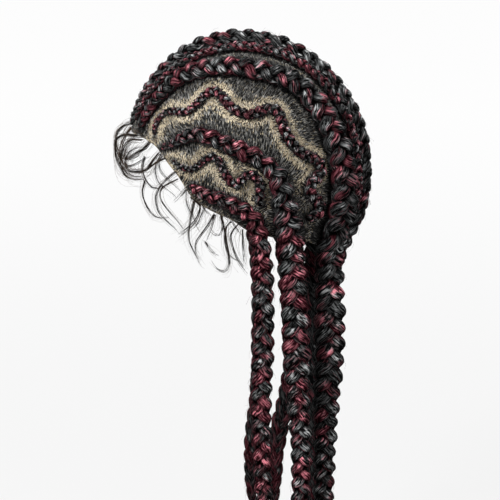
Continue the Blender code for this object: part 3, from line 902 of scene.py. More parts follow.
# Braids


# How light a strand stays where it goes round a braid's side, and on its front
SIDE_LIT = {"crown_braid": 0.85}
PLAIN_SIDE_LIT = 0.5
FRONT_LIT = {"upper_braid": 0.82}
PLAIN_FRONT_LIT = 1

# The least light on a lobe's front and side, and how fast it falls off round the strand
FRONT_LEAST = 0.25
SIDE_LEAST = 0.35
LIT_FALL = 1.4

# Painted shade on the side of a plait that faces the neck: how dark it is kept, and how far in that
# begins
INNER_DARK = 0.7
INNER_BEGINS = 0.1

# The values crest and painted light in the middle of a strand's end
END_CREST = 0.6
END_PAINTED_LIGHT = 0.5

# Under a cornrow a strand sinks less, because the cap is there
HIDDEN_SINK = 0.45

# The height over which a braid passes from hanging to lying on the head
HEAD_BLEND = 0.020

# How much plumper some cornrows' strands are than their solids, and up to how far along
Fuller = namedtuple("Fuller", "more until")
FULLER = {
    "upper_braid": Fuller(0.20, 0.24),
    "woven_upper_thin_cornrow": Fuller(0.22, 1.0),
    "woven_upper_zigzag_cornrow": Fuller(0.14, 1.0),
}
NOT_FULLER = Fuller(0.0, 1.0)
FULLER_FADE = 0.08

# How far a cornrow's face is rolled to its side of the head, in degrees
ROLL_DEG = {"crown_braid": 12, "upper_braid": 14}

# Over what length a strand's wander, swell and ridges change, in mm, and its lobes' lengths, in lobes
STRAY_REACH_MM = 9.0
SWELL_REACH_MM = 12.0
RIDGE_REACH_MM = 12.0
UNEVEN_LOBES = 1.5

# How much more a thin braid's strands wander
THIN_STRAY = 1.5

# What the braids' random numbers start from, each braid with its own number added
STRAND_SEED = 100
RIDGE_SEED = 200

Strand = namedtuple("Strand", "centre up beside half_width half_height phase")
Woven = namedtuple("Woven", "at middle across outward width pitch on_head strands")


def row_for(table, name, otherwise):
    """The row of a table whose key the name begins with."""
    return next((row for key, row in table.items() if name.startswith(key)), otherwise)


def step_of(braid, sizes):
    return sizes.big_step if braid.big else sizes.thin_step


def smooth_noise(rng, count, columns, spacing):
    """Smooth random values from -1 to 1 down each column, changing every few rows."""
    knots = rng.uniform(-1, 1, (max(4, int(count / spacing) + 3), columns))
    at = np.arange(count) / max(spacing, 1e-6)
    at = np.minimum(at, len(knots) - 2.001)
    low = at.astype(int)
    share = eased(at - low)[:, None]
    return knots[low] * (1 - share) + knots[low + 1] * share


def rolled(at, angle):
    """The stations' across and outward directions, turned about the braid's own line."""
    cosine, sine = np.cos(angle)[:, None], np.sin(angle)[:, None]
    return at.across * cosine - at.outward * sine, at.outward * cosine + at.across * sine


def strand_along(braid, woven, phase, sizes, rng):
    """One strand, which swings to both sides, over its neighbours and under them."""
    at, width = woven.at, woven.width[:, None]
    row_mm = step_of(braid, sizes) / MM
    deep = braid.flatness / BIG_FLATNESS
    stray = sizes.stray * (1.0 if braid.big else THIN_STRAY)
    swing = np.sin(phase) - sizes.strand_turn * np.sin(3 * phase)
    rise = np.sin(2 * phase) + sizes.flat_top * np.sin(6 * phase)
    rise = np.where(rise < 0, rise * (1 - (1 - HIDDEN_SINK) * woven.on_head), rise)
    wander = smooth_noise(rng, len(phase), 2, STRAY_REACH_MM / row_mm) * stray * width
    across = swing[:, None] * sizes.strand_spread * width + wander[:, :1]
    outward = rise[:, None] * sizes.strand_lift * deep * width + wander[:, 1:]
    tilt = (woven.on_head / sizes.dome)[:, None] / width * across
    drop = across * np.sin(tilt / 2) * np.sinc(tilt / 2 / math.pi)
    level = across * np.sinc(tilt / math.pi) + outward * np.sin(tilt)
    centre = woven.middle + woven.across * level + woven.outward * (outward * np.cos(tilt) - drop)
    to_side = np.sin(phase) ** 2
    back = to_side * sizes.strand_back * woven.pitch * at.scale
    wrap = np.sin(2 * phase) * sizes.strand_wrap * woven.pitch * at.scale
    centre = centre + at.forward * (wrap - back)[:, None]
    tangent = unit(np.gradient(centre, axis=0))
    up = woven.outward * np.cos(tilt) + woven.across * np.sin(tilt)
    up = unit(up - dot(up, tangent) * tangent)
    swell = 1 - sizes.swell * np.cos(4 * phase) + sizes.front_swell * rise
    uneven = smooth_noise(rng, len(phase), 1, SWELL_REACH_MM / row_mm)[:, 0]
    half = (woven.width * (swell * (1 + sizes.uneven_swell * uneven)))[:, None]
    narrowed = 1 - sizes.edge_narrow * to_side[:, None]
    thickened = 1 + sizes.edge_thick * to_side[:, None]
    half_width = sizes.strand_half_width * half * narrowed
    half_height = sizes.strand_half_height * deep * half * thickened
    return Strand(centre, up, np.cross(tangent, up), half_width, half_height, phase)


def strands_of(braid, number, sizes):
    """A braid's three strands, which cross from the middle outward, and how they lie."""
    line, _ = foot_line(braid)
    step = step_of(braid, sizes)
    at = stations_along(line, braid.widths, step, TIP_TAPER if braid.hang else FRONT_TAPER)
    pitch = table_at(LOBE_PITCHES if braid.big else THIN_LOBE_PITCHES, at.width)
    turn = np.concatenate([[0], np.cumsum(np.diff(at.along) / pitch[1:])]) * 2 * math.pi / 3
    rng = np.random.default_rng(STRAND_SEED + number)
    uneven = smooth_noise(rng, len(turn), 1, pitch.mean() / step * UNEVEN_LOBES)[:, 0]
    turn = turn + sizes.uneven * uneven
    on_head = eased((at.place[:, 2] - HANG_BEGINS_UP) / HEAD_BLEND)
    fuller = row_for(FULLER, braid.name, NOT_FULLER)
    more = 1 + fuller.more * (1 - eased((at.along - fuller.until) / FULLER_FADE))
    width = at.width * at.scale * more
    middle = at.place + at.outward * (SCALP_GAP + width[:, None] * braid.flatness / 2)
    roll = math.radians(row_for(ROLL_DEG, braid.name, 0)) * braid.side * on_head
    woven = Woven(at, middle, *rolled(at, roll), width, pitch, on_head, [])
    for strand in range(3):
        phase = turn + strand * 2 * math.pi / 3 + number
        woven.strands.append(strand_along(braid, woven, phase, sizes, rng))
    return woven


def painted_light_of(braid, woven, strand, wide, tall, depth):
    """How lit each place of a strand is: most on its lobes, least where a plait faces the neck."""
    side_lit = row_for(SIDE_LIT, braid.name, PLAIN_SIDE_LIT) * np.sin(strand.phase) ** 2
    round_side = SIDE_LEAST + (1 - SIDE_LEAST) * np.abs(wide) ** LIT_FALL
    round_front = FRONT_LEAST + (1 - FRONT_LEAST) * np.abs(tall) ** LIT_FALL
    front = np.abs(np.sin(2 * strand.phase))[:, None] * round_front
    front = front * row_for(FRONT_LIT, braid.name, PLAIN_FRONT_LIT)
    # Painted shade on the side of a hanging plait that faces the neck
    inner = eased(-depth - INNER_BEGINS) * (1 - woven.on_head)[:, None]
    return np.maximum(front, side_lit[:, None] * round_side) * (1 - INNER_DARK * inner)


def woven_strands(braid, number, sizes):
    """A braid's strands as closed tubes, with values for their fibres."""
    woven = strands_of(braid, number, sizes)
    sides = sizes.big_sides if braid.big else sizes.thin_sides
    shape = (len(woven.at.along), sides)
    angles = np.arange(sides) / sides * 2 * math.pi
    wide = np.sign(np.cos(angles)) * np.abs(np.cos(angles)) ** sizes.roundness
    tall = np.sign(np.sin(angles)) * np.abs(np.sin(angles)) ** sizes.roundness
    half_size = woven.width[:, None] / 2
    along = np.broadcast_to(woven.at.along[:, None] / MM, shape)
    ridge_rows = RIDGE_REACH_MM / (step_of(braid, sizes) / MM)
    rng = np.random.default_rng(RIDGE_SEED + number)
    places, fibres, crests, painted_lights = [], [], [], []
    for strand in woven.strands:
        radius = 1 + sizes.ridge * smooth_noise(rng, *shape, ridge_rows)
        ring = (
            strand.centre[:, None]
            + strand.beside[:, None] * (strand.half_width * wide * radius)[..., None]
            + strand.up[:, None] * (strand.half_height * tall * radius)[..., None]
        )
        off = ring - woven.middle[:, None]
        across = np.sum(off * woven.across[:, None], axis=2) / half_size
        depth = np.sum(off * woven.outward[:, None], axis=2) / half_size / braid.flatness
        size = float((strand.half_width + strand.half_height).mean()) / 2 / MM
        round_about = np.broadcast_to(angles, shape)
        fibre = np.stack([size * np.cos(round_about), size * np.sin(round_about), along], -1)
        places.append(ring)
        fibres.append(fibre)
        # Values for the painted shade in the crevices and the painted highlights on the lobes
        crests.append(np.hypot(across, depth))
        painted_lights.append(painted_light_of(braid, woven, strand, wide, tall, depth))
    ends = np.ones(2 * len(woven.strands))
    seeds = number * 3 + np.arange(1.0, 4.0)
    reds = np.repeat(braid.red + (braid.hang_red - braid.red) * (1 - woven.on_head), sides)
    values = {
        "fibre": with_ends(np.array(fibres)),
        "strand": np.concatenate([np.repeat(seeds, math.prod(shape)), np.repeat(seeds, 2)]),
        "crest": np.concatenate([np.ravel(crests), ends * END_CREST]),
        "mound": np.concatenate([np.ravel(painted_lights), ends * END_PAINTED_LIGHT]),
        "red": np.concatenate([np.tile(reds, 3), ends * braid.red]),
    }
    return with_ends(np.array(places)), tube_faces(3, *shape), end_fans(3, *shape), values


def weave(braid, number, sizes, colours):
    places, quads, fans, values = woven_strands(braid, number, sizes)
    finish = braid_finish(f"{braid.name}_hair", braid.big, colours)
    made = mesh_object(braid.name, places, quads, fans, values, [finish])
    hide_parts(*braid.nodes)
    braid.nodes[0] + "_hair"


# The cap

CAP_MERIDIANS = 216
CAP_RINGS = 72

# How far past the cap's edge and how low a braid's line still guides flat hair
LANE_PAST_EDGE = 0.004
LANE_ENDS_UP = -0.075

# The share of a braid's half width that hides the cap, the share of the way from a thin braid to a
# big one where their parting runs at most, and a distance beyond any on the cap
HIDDEN_SHARE = 0.8
PARTING_SHARE = 0.45
FAR_AWAY = 1.0

# How much more hair lies beside these thin cornrows, and how far round them
VEILS = {"upper_thin_cornrow": 0.68}
VEIL_REACH = 0.009

# How much hair covers the lace beside thin and big braids, how far a parting stays bare, and how
# much more hair lies right beside a braid
THIN_SIDE_COVER = 0.66
BIG_SIDE_COVER = 1.10
BARE_PARTING = 0.0003
BESIDE_COVER = 0.5
BESIDE_REACH = 0.0018

# How the hair thins out toward the cap's edge
EDGE_COVER = 0.45
EDGE_FADE = 0.0020

# Low down the hair grows thicker, and the combed hair there takes painted shade. At these places back
# it begins at these heights.
LOW_COVER_BACK = (-0.020, 0.030)
LOW_COVER_BEGINS_UP = (-0.020, 0.014)
LOW_COVER_FADE = 0.027
LOW_COVER = 0.55
# The most cover; past full, beside the braids and low down, the combed hair takes painted shade
MOST_COVER = 1.5

# How far apart in the noise two braids' flat hair is taken, so that it differs
COMB_APART = 7.0

Lane = namedtuple("Lane", "line lengths forward half_width big tree veil")
Near = namedtuple("Near", "owner index clear parting thin veil")


def lanes():
    """Each braid's line on the cap, for finding how the flat hair runs."""
    made = []
    for braid in BRAIDS:
        line, on_head = foot_line(braid)
        keep = on_head | (inside_edge(line) > -LANE_PAST_EDGE)
        line = line[keep & (line[:, 2] > LANE_ENDS_UP)]
        lengths = lengths_along(line)
        tree = kdtree.KDTree(len(line))
        for index, place in enumerate(line):
            tree.insert(place, index)
        tree.balance()
        half_width = table_at(braid.widths, lengths) / 2
        forward = unit(np.gradient(line, axis=0))
        veil = row_for(VEILS, braid.nodes[0], 0)
        made.append(Lane(line, lengths, forward, half_width, braid.big, tree, veil))
    return made


def nearest_on(lane, places):
    found = np.array([lane.tree.find(place)[1:] for place in places])
    return found[:, 0].astype(int), found[:, 1]


def nearest_lanes(all_lanes, places, cap):
    """For places on the cap: the braid whose hair covers them, and how far the parting is."""
    clear = np.empty((len(all_lanes), len(places)))
    index = np.empty((len(all_lanes), len(places)), int)
    for number, lane in enumerate(all_lanes):
        index[number], distance = nearest_on(lane, places)
        clear[number] = distance - lane.half_width[index[number]] * HIDDEN_SHARE
    columns = np.arange(len(places))
    big = np.array([lane.big for lane in all_lanes])
    orders = []
    for kind in (big, ~big):
        table = np.where(kind[:, None], clear, FAR_AWAY)
        orders.append(np.argsort(table, axis=0)[:2])
    (big_one, big_two), (thin_one, thin_two) = orders
    big_clear, thin_clear = clear[big_one, columns], clear[thin_one, columns]
    line_at = np.minimum(cap.parting_away, PARTING_SHARE * (big_clear + thin_clear))
    past = thin_clear - line_at
    thin = past < 0
    between_big = (clear[big_two, columns] - big_clear) / 2
    between_thin = (clear[thin_two, columns] - thin_clear) / 2
    parting = np.where(thin, np.minimum(-past, between_thin), np.minimum(past, between_big))
    owner = np.where(thin, thin_one, big_one)
    veils = np.array([lane.veil for lane in all_lanes])
    veil = veils[thin_one] * eased(2 - thin_clear / VEIL_REACH)
    return Near(owner, index[owner, columns], clear[owner, columns], parting, thin, veil)


def hair_cover(places, near, edge, cap):
    """How much hair covers the lace: much beside a braid, little along a parting or the edge."""
    away = eased((near.parting - BARE_PARTING) / cap.parting)
    full = np.where(near.thin, THIN_SIDE_COVER, BIG_SIDE_COVER)
    beside = eased(1 - near.clear / BESIDE_REACH)
    begins = np.interp(places[:, 1], LOW_COVER_BACK, LOW_COVER_BEGINS_UP)
    low = eased((begins - places[:, 2]) / LOW_COVER_FADE)
    bare = eased((edge - cap.border) / EDGE_FADE)
    cover = cap.thin_cover + (full - cap.thin_cover) * away + BESIDE_COVER * beside
    cover = np.clip(cover + near.veil + low * LOW_COVER, 0, MOST_COVER)
    return cover * (EDGE_COVER + (1 - EDGE_COVER) * bare)


def cap_surface():
    """Places of the cap's outside: the crown's one, then ring after ring down to the edge."""
    turn = np.arange(CAP_MERIDIANS) / CAP_MERIDIANS * 2 * math.pi
    round_deg = np.degrees(np.arctan2(np.abs(np.sin(turn)), np.cos(turn)))
    reach = np.radians(np.interp(round_deg, EDGE_DEG, EDGE_DOWN))
    down = np.arange(1, CAP_RINGS + 1)[:, None] / CAP_RINGS * reach[None]
    level = np.stack(
        [np.sin(down) * np.sin(turn), -np.sin(down) * np.cos(turn), np.cos(down)], axis=-1
    )
    plain = np.concatenate([[[0, 0, HEAD[2]]], (level * HEAD).reshape(-1, 3)])
    return tucked(plain)


def combed(places, quads, all_lanes, cap):
    """For the corners of quads: how far along and off their braid's line they lie, in mm."""
    owner = nearest_lanes(all_lanes, places[quads].mean(axis=1), cap).owner
    comb = np.zeros((len(quads), 4, 3))
    for number, lane in enumerate(all_lanes):
        corner = places[quads[owner == number]].reshape(-1, 3)
        if not len(corner):
            continue
        index, distance = nearest_on(lane, corner)
        ahead = np.sum((corner - lane.line[index]) * lane.forward[index], axis=1)
        along = lane.lengths[index] + ahead + cap.lean * distance
        pattern = np.full(len(corner), number * COMB_APART)
        rows = np.stack([along / MM, distance / MM, pattern], axis=1)
        comb[owner == number] = rows.reshape(-1, 4, 3)
    return comb.reshape(-1, 3)


def make_cap(cap, colours):
    """A thin shell with combed lace outside, and plain lace on its rim and inside."""
    outside = cap_surface()
    inside = outside - surface_normal(outside, levelled=False) * cap.wall
    quads, fan = disc_faces(CAP_RINGS, CAP_MERIDIANS)
    count = len(outside)
    rim = np.arange(CAP_MERIDIANS) + count - CAP_MERIDIANS
    following = np.roll(rim, -1)
    rim_quads = np.stack([rim, rim + count, following + count, following], 1)
    all_quads = np.concatenate([quads, rim_quads, quads[:, ::-1] + count])
    all_fans = np.concatenate([fan, fan[:, ::-1] + count])
    all_lanes = lanes()
    comb = np.zeros((len(all_quads) * 4 + len(all_fans) * 3, 3))
    comb[: len(quads) * 4] = combed(outside, quads, all_lanes, cap)
    edge = inside_edge(outside)
    cover = hair_cover(outside, nearest_lanes(all_lanes, outside, cap), edge, cap)
    points = {
        "cover": np.concatenate([cover, np.zeros(count)]),
        "edge": np.concatenate([edge / MM, np.zeros(count)]),
    }
    finishes = [combed_finish("combed_lace", colours), lace_finish("lace_inside", colours)]
    both = np.concatenate([outside, inside])
    made = mesh_object(
        "lace_cap_shell", both, all_quads, all_fans, points, finishes, {"comb": comb}
    )
    slots = np.zeros(len(all_quads) + len(all_fans), np.int32)
    slots[len(quads) : len(all_quads)] = 1
    slots[len(all_quads) + len(fan) :] = 1
    made.data.polygons.foreach_set("material_index", slots)
    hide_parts("lace_cap")


# Flat hair: how many stay where little hair covers the lace, how clear of a braid they root, and
# how far under it they reach
FLAT_HAIR_SEED = 7
LEAST_KEPT = 0.3
ROOT_CLEAR = 0.0006
UNDER_BRAID = 0.0012
LEAN_VARIES = 0.16

# A flat hair's height over the cap and its thickness at its root, middle and end, and how much
# hairs vary in length, height and thickness
FLAT_HAIR_LIFTS = (0.00003, 0.00045, 0.00030)
FLAT_HAIR_TAPER = (0.8, 1.0, 0.45)
FLAT_HAIR_LENGTHS = (0.35, 1.0)
FLAT_HAIR_HEIGHTS = (0.5, 1.3)
FLAT_HAIR_THICKNESSES = (0.6, 1.25)


def scattered_on_cap(rng, count):
    """Random places all over the cap, as many on each bit of it as its size gives."""
    corner = cap_surface()[disc_faces(CAP_RINGS, CAP_MERIDIANS)[0]]
    area = np.linalg.norm(
        np.cross(corner[:, 2] - corner[:, 0], corner[:, 3] - corner[:, 1]), axis=1
    )
    face = rng.choice(len(corner), count, p=area / area.sum())
    u, v = rng.random((2, count, 1))
    bottom = corner[face, 0] * (1 - u) + corner[face, 1] * u
    top = corner[face, 3] * (1 - u) + corner[face, 2] * u
    return onto_head(bottom * (1 - v) + top * v)


def lay_flat_hair(cap, colours):
    """Short hairs that lie on the cap from the partings toward the braids."""
    rng = np.random.default_rng(FLAT_HAIR_SEED)
    root = scattered_on_cap(rng, cap.hair_count)
    all_lanes = lanes()
    near = nearest_lanes(all_lanes, root, cap)
    edge = inside_edge(root)
    cover = hair_cover(root, near, edge, cap)
    keep = rng.random(cap.hair_count) < LEAST_KEPT + (1 - LEAST_KEPT) * cover
    keep = keep & (near.clear > ROOT_CLEAR) & (edge > cap.border)
    root, owner, index, own = (row[keep] for row in (root, near.owner, near.index, near.clear))
    count = len(root)
    target, forward = np.empty((2, count, 3))
    for number, lane in enumerate(all_lanes):
        mine = owner == number
        target[mine] = lane.line[index[mine]]
        forward[mine] = lane.forward[index[mine]]
    toward = unit(target - root)
    lean = rng.normal(cap.lean, LEAN_VARIES, (count, 1))
    direction = unit(toward + forward * lean)
    reach = rng.uniform(*FLAT_HAIR_LENGTHS, count) * cap.hair_length
    reach = np.minimum(reach, own + UNDER_BRAID)
    paths, ups = np.empty((2, count, 3, 3))
    lift_scale = rng.uniform(*FLAT_HAIR_HEIGHTS, count)
    for ring, lift in enumerate(FLAT_HAIR_LIFTS):
        place = onto_head(root + direction * (reach * ring / 2)[:, None])
        ups[:, ring] = surface_normal(place, levelled=False)
        paths[:, ring] = place + ups[:, ring] * (lift * lift_scale)[:, None]
    thick = cap.hair_radius * rng.uniform(*FLAT_HAIR_THICKNESSES, count)
    radii = thick[:, None] * np.array(FLAT_HAIR_TAPER)
    tone = rng.random(count)
    finish = flat_hair_finish("flat_hair", colours)
    left = root[:, 0] >= 0
    for word, mine in (("left", left), ("right", ~left)):
        made = fibre_mesh(
            f"flat_hair_{word}", paths[mine], ups[mine], radii[mine], {"tone": tone[mine]}, finish
        )


# Flyaway hairs: how long they are, how they turn and lift round the strand that they run on, how
# far they stand off and stray at their ends, how thick and how toned they are, and that thin braids
# have shorter and fewer ones
FLYAWAY_SEED = 23
FLYAWAY_RINGS = 6
FLYAWAY_SPAN = (0.005, 0.014)
FLYAWAY_AROUND = 0.9
FLYAWAY_DRIFT = 0.5
FLYAWAY_STAND = 1.02
FLYAWAY_LIFT = (0.0, 0.04)
FLYAWAY_LOOSE_SHARE = 0.5
FLYAWAY_LOOSE = (0.0008, 0.0040)
FLYAWAY_ASIDE = 0.0009
FLYAWAY_RADIUS_MM = (0.08, 0.13)
FLYAWAY_TIP_SHARE = 0.5
FLYAWAY_RED_TONES = (0.8, 1)
FLYAWAY_DARK_TONES = (0.1, 0.6)
THIN_FLYAWAY_SIZE = 0.5
THIN_FLYAWAY_SHARE = 0.12


def between(rows, at):
    """Rows read between their whole numbers."""
    low = np.minimum(at.astype(int), len(rows) - 2)
    share_on = (at - low)[:, None]
    return rows[low] * (1 - share_on) + rows[low + 1] * share_on


def flyaways_on(strand, woven, count, size, rng):
    """Hairs that begin anywhere on a strand's open side and run along it, and how they face."""
    last = len(woven.at.along) - 1
    step = woven.at.along[1] - woven.at.along[0]
    span = rng.uniform(*FLYAWAY_SPAN, count) * size
    middle = rng.integers(3, last - 3, count)
    front = np.sin(2 * strand.phase[middle]) > 0
    keep = front | (1 - woven.on_head[middle] > 0.5)
    span, middle, front = span[keep], middle[keep], front[keep]
    kept = len(span)
    around = np.where(front, 0.5, 1.5) * math.pi + rng.normal(0, FLYAWAY_AROUND, kept)
    drift = rng.normal(0, FLYAWAY_DRIFT, kept)
    lift = rng.uniform(*FLYAWAY_LIFT, kept)
    stands_off = rng.random(kept) < FLYAWAY_LOOSE_SHARE
    loose = np.where(stands_off, rng.uniform(*FLYAWAY_LOOSE, kept), 0.0) * size
    aside = rng.normal(0, FLYAWAY_ASIDE, kept)
    hair, up = np.empty((2, kept, FLYAWAY_RINGS, 3))
    for ring in range(FLYAWAY_RINGS):
        share_along = ring / (FLYAWAY_RINGS - 1)
        at = np.clip(middle + (share_along - 0.5) * span / step, 0, last - 0.001)
        turn = around + drift * (share_along - 0.5)
        stand = FLYAWAY_STAND + lift * math.sin(math.pi * share_along)
        beside = between(strand.beside, at)
        half_width = between(strand.half_width, at)[:, 0]
        half_height = between(strand.half_height, at)[:, 0]
        out = beside * (np.cos(turn) * half_width)[:, None]
        out = out + between(strand.up, at) * (np.sin(turn) * half_height)[:, None]
        up[:, ring] = unit(out)
        hair[:, ring] = (
            between(strand.centre, at)
            + out * stand[:, None]
            + up[:, ring] * (loose * share_along**2)[:, None]
            + beside * (aside * share_along**2)[:, None]
        )
    return hair, up


def scatter_flyaways(sizes, cap, colours):
    """Single hairs that run along the strands, many of them lifting off."""
    rng = np.random.default_rng(FLYAWAY_SEED)
    shares = np.array([braid.big + THIN_FLYAWAY_SHARE for braid in BRAIDS])
    counts = np.round(cap.flyaway_count * shares / shares.sum() / 3).astype(int)
    paths, ups, radii, tones = [], [], [], []
    for number, (braid, count) in enumerate(zip(BRAIDS, counts)):
        woven = strands_of(braid, number, sizes)
        size = 1.0 if braid.big else THIN_FLYAWAY_SIZE
        for strand in woven.strands:
            hair, up = flyaways_on(strand, woven, count, size, rng)
            kept = len(hair)
            paths.append(hair)
            ups.append(up)
            radii.append(rng.uniform(*FLYAWAY_RADIUS_MM, kept) * MM)
            red = rng.random(kept) < braid.hang_red
            red_tone = rng.uniform(*FLYAWAY_RED_TONES, kept)
            tones.append(np.where(red, red_tone, rng.uniform(*FLYAWAY_DARK_TONES, kept)))
    made = fibre_mesh(
        "loose_hairs",
        np.concatenate(paths),
        np.concatenate(ups),
        np.concatenate(radii)[:, None] * np.linspace(1, FLYAWAY_TIP_SHARE, FLYAWAY_RINGS),
        {"tone": np.concatenate(tones)},
        loose_hair_finish("loose_hair", colours),
    )


# Baby hairs on the left: how many hairs a lock has, how far they spread in mm, and the points that
# it follows in mm from the head's centre
Bead = namedtuple("Bead", "out back up")
Lock = namedtuple("Lock", "hairs spread beads")


def lock_rows(hairs, spread, *beads):
    return Lock(hairs, spread, rows_of(Bead, *beads))


BABY_LOCKS = (
    lock_rows(8, 1.2, (30, -88, 40), (20, -99, 39), (14, -106, 33), (11, -107, 24), (11, -105, 17),
              (13, -102, 10), (18, -98, 4), (28, -91, 3), (46, -78, 7)),
    lock_rows(7, 1.3, (35, -84, 38), (25, -93, 36), (18, -99, 29), (15, -102, 21), (16, -102, 14),
              (20, -99, 10), (31, -93, 7), (43, -84, 9)),
    lock_rows(8, 1.2, (53, -70, 30), (50, -76, 22), (47, -80, 15), (40, -87, 12), (28, -94, 10),
              (17, -98, 12), (17, -98, 18), (23, -94, 26), (35, -86, 32), (42, -81, 33)),
    lock_rows(5, 0.8, (58, -65, 27), (52, -73, 22), (47, -81, 15), (37, -89, 9)),
    lock_rows(5, 0.7, (46, -82, 6), (44, -84, -5), (46, -81, -15), (50, -76, -22), (55, -70, -24),
              (61, -62, -22)),
    lock_rows(5, 0.7, (64, -57, 17), (61, -65, 9), (56, -71, 0), (55, -73, -8), (55, -71, -18),
              (58, -66, -24), (61, -58, -31), (63, -54, -36)),
    lock_rows(3, 0.7, (66, -55, 11), (59, -68, 2), (58, -69, -8), (61, -62, -18), (64, -56, -24),
              (65, -50, -32)),
    lock_rows(7, 1.0, (71, -45, -3), (73, -38, -9), (73, -38, -14), (71, -41, -22), (67, -48, -31),
              (60, -57, -39)),
    lock_rows(4, 0.7, (72, -42, -6), (68, -46, -28), (65, -46, -41), (63, -41, -53), (60, -37, -62),
              (59, -33, -66)),
    lock_rows(4, 0.9, (76, -26, -16), (73, -31, -26), (69, -38, -37), (66, -41, -44),
              (63, -40, -54), (62, -34, -61)),
    lock_rows(5, 0.7, (77, -21, -17), (76, -18, -29), (73, -16, -42), (69, -14, -55),
              (65, -14, -63), (61, -17, -69), (61, -23, -67), (64, -28, -59)),
    lock_rows(5, 1.0, (78, -12, -22), (76, -16, -27), (73, -17, -39), (70, -14, -52),
              (68, -7, -59)),
    lock_rows(5, 0.9, (78, -6, -24), (75, -12, -34), (72, -10, -47), (68, -5, -59), (62, 3, -71)),
    lock_rows(3, 0.9, (75, -34, -10), (72, -39, -24), (68, -44, -30)),
    lock_rows(3, 0.9, (76, -25, -16), (73, -29, -31), (70, -32, -40)),
    lock_rows(4, 0.9, (77, -3, -29), (72, -2, -48), (67, 0, -62)),
    lock_rows(3, 0.9, (69, -33, -41), (68, -28, -49), (68, -22, -54)),
)

# How far forward a baby hair reaches before it is held back, and how much further it may, in mm
BABY_HAIR_FRONT = 105
BABY_HAIR_FRONT_ROOM = 3.5
BABY_HAIR_SEED = 41
BABY_HAIR_RINGS = 26

# The share of a lock's hairs that are dark and close, how far they and the wisps spread, and how
# all of them vary in length, tone and thickness
DARK_BABY_SHARE = 0.36
DARK_BABY_SPREAD = 0.45
WISP_SPREAD = 2.0
END_SPREAD = 1.5
MIDDLE_SPREAD = 1.2
SHORTEST_SHARE = 0.72
WISP_TONES = (0.5, 1.0)
DARK_BABY_TONES = (0.0, 0.15)
BABY_THICKNESSES = (0.7, 1.2)
BABY_TIP_SHARE = 0.4


def baby_hair(rng, beads, loose):
    """One hair along a lock's beads, which strays from them and is held back in front."""
    start, end = rng.normal(0, loose, 3), rng.normal(0, loose * END_SPREAD, 3)
    middle = rng.normal(0, loose * MIDDLE_SPREAD, 3)
    share_along = np.linspace(0, 1, len(beads))[:, None]
    bow = 4 * share_along * (1 - share_along)
    moved = beads + MM * (start * (1 - share_along) + end * share_along + middle * bow)
    fine, _ = smooth_curve(moved, FINE_STEP)
    stop = rng.uniform(SHORTEST_SHARE, 1.0) * (len(fine) - 1)
    at = np.linspace(0, stop, BABY_HAIR_RINGS)
    index = np.arange(len(fine))
    path = np.stack([np.interp(at, index, fine[:, axis]) for axis in range(3)], 1)
    over = np.maximum(-path[:, 1] / MM - BABY_HAIR_FRONT, 0)
    room = BABY_HAIR_FRONT_ROOM
    path[:, 1] += (over - room * (1 - np.exp(-over / room))) * MM
    return path


def curl_baby_hairs(cap, colours):
    """Locks of fine curling hairs along the cap's front edge, the same on both sides."""
    rng = np.random.default_rng(BABY_HAIR_SEED)
    finish = baby_hair_finish("baby_hair", colours)
    for word, side in (("left", 1), ("right", -1)):
        paths, tones, thick = [], [], []
        for lock in BABY_LOCKS:
            beads = np.array([(side * bead.out, bead.back, bead.up) for bead in lock.beads]) * MM
            hairs = round(lock.hairs * cap.baby_fullness)
            for number in range(hairs):
                wisp = number > hairs * DARK_BABY_SHARE
                thick.append(cap.wisp_radius if wisp else cap.baby_radius)
                spread = WISP_SPREAD if wisp else DARK_BABY_SPREAD
                paths.append(baby_hair(rng, beads, lock.spread * spread))
                tones.append(rng.uniform(*(WISP_TONES if wisp else DARK_BABY_TONES)))
        paths = np.array(paths)
        thick = np.array(thick) * rng.uniform(*BABY_THICKNESSES, len(paths))
        radii = thick[:, None] * np.linspace(1, BABY_TIP_SHARE, BABY_HAIR_RINGS)
        made = fibre_mesh(
            f"baby_hairs_{word}",
            paths,
            unit(paths / HEAD**2),
            radii,
            {"tone": np.array(tones)},
            finish,
        )


# The stage

Lamp = namedtuple("Lamp", "name place size power")
LAMPS = rows_of(
    Lamp,
    ("key_lamp", (1.25, -1.15, 1.35), 0.50, 64),
    ("fill_lamp", (1.5, 1.0, 0.2), 0.8, 10),
    ("top_lamp", (0.1, 0.2, 1.6), 0.7, 16),
    ("far_lamp", (-1.5, 0.2, 0.9), 1.0, 10),
)
LAMP_AIM = (0, 0, -0.05)
WORLD_STRENGTH = 0.24
CAMERA_PLACE = (1.56043822, -0.07454419, 0.35171166)
CAMERA_DOWN_DEG = 15
CAMERA_ROUND_DEG = -3
CAMERA_LENS_MM = 135.53
CAMERA_SENSOR_MM = 36

# The floor and the wall that it curves up into, round the wig
FLOOR_UP = -0.42
STAGE_OUT = 6.0
STAGE_COVE = 1.2
STAGE_TALL = 6.0
STAGE_SIDES = 64
STAGE_FLOOR_SHARES = (0.25, 0.5, 0.7, 0.78)
STAGE_COVE_RINGS = 9

# How the floor glows: its middle's share of the light, from where to where that fades out, and
# the share that it takes from the lamps
FLOOR_MIDDLE_SHARE = 0.88
FLOOR_MIDDLE_OUT = (0.3, 2.6)
FLOOR_MATT_SHARE = 0.05


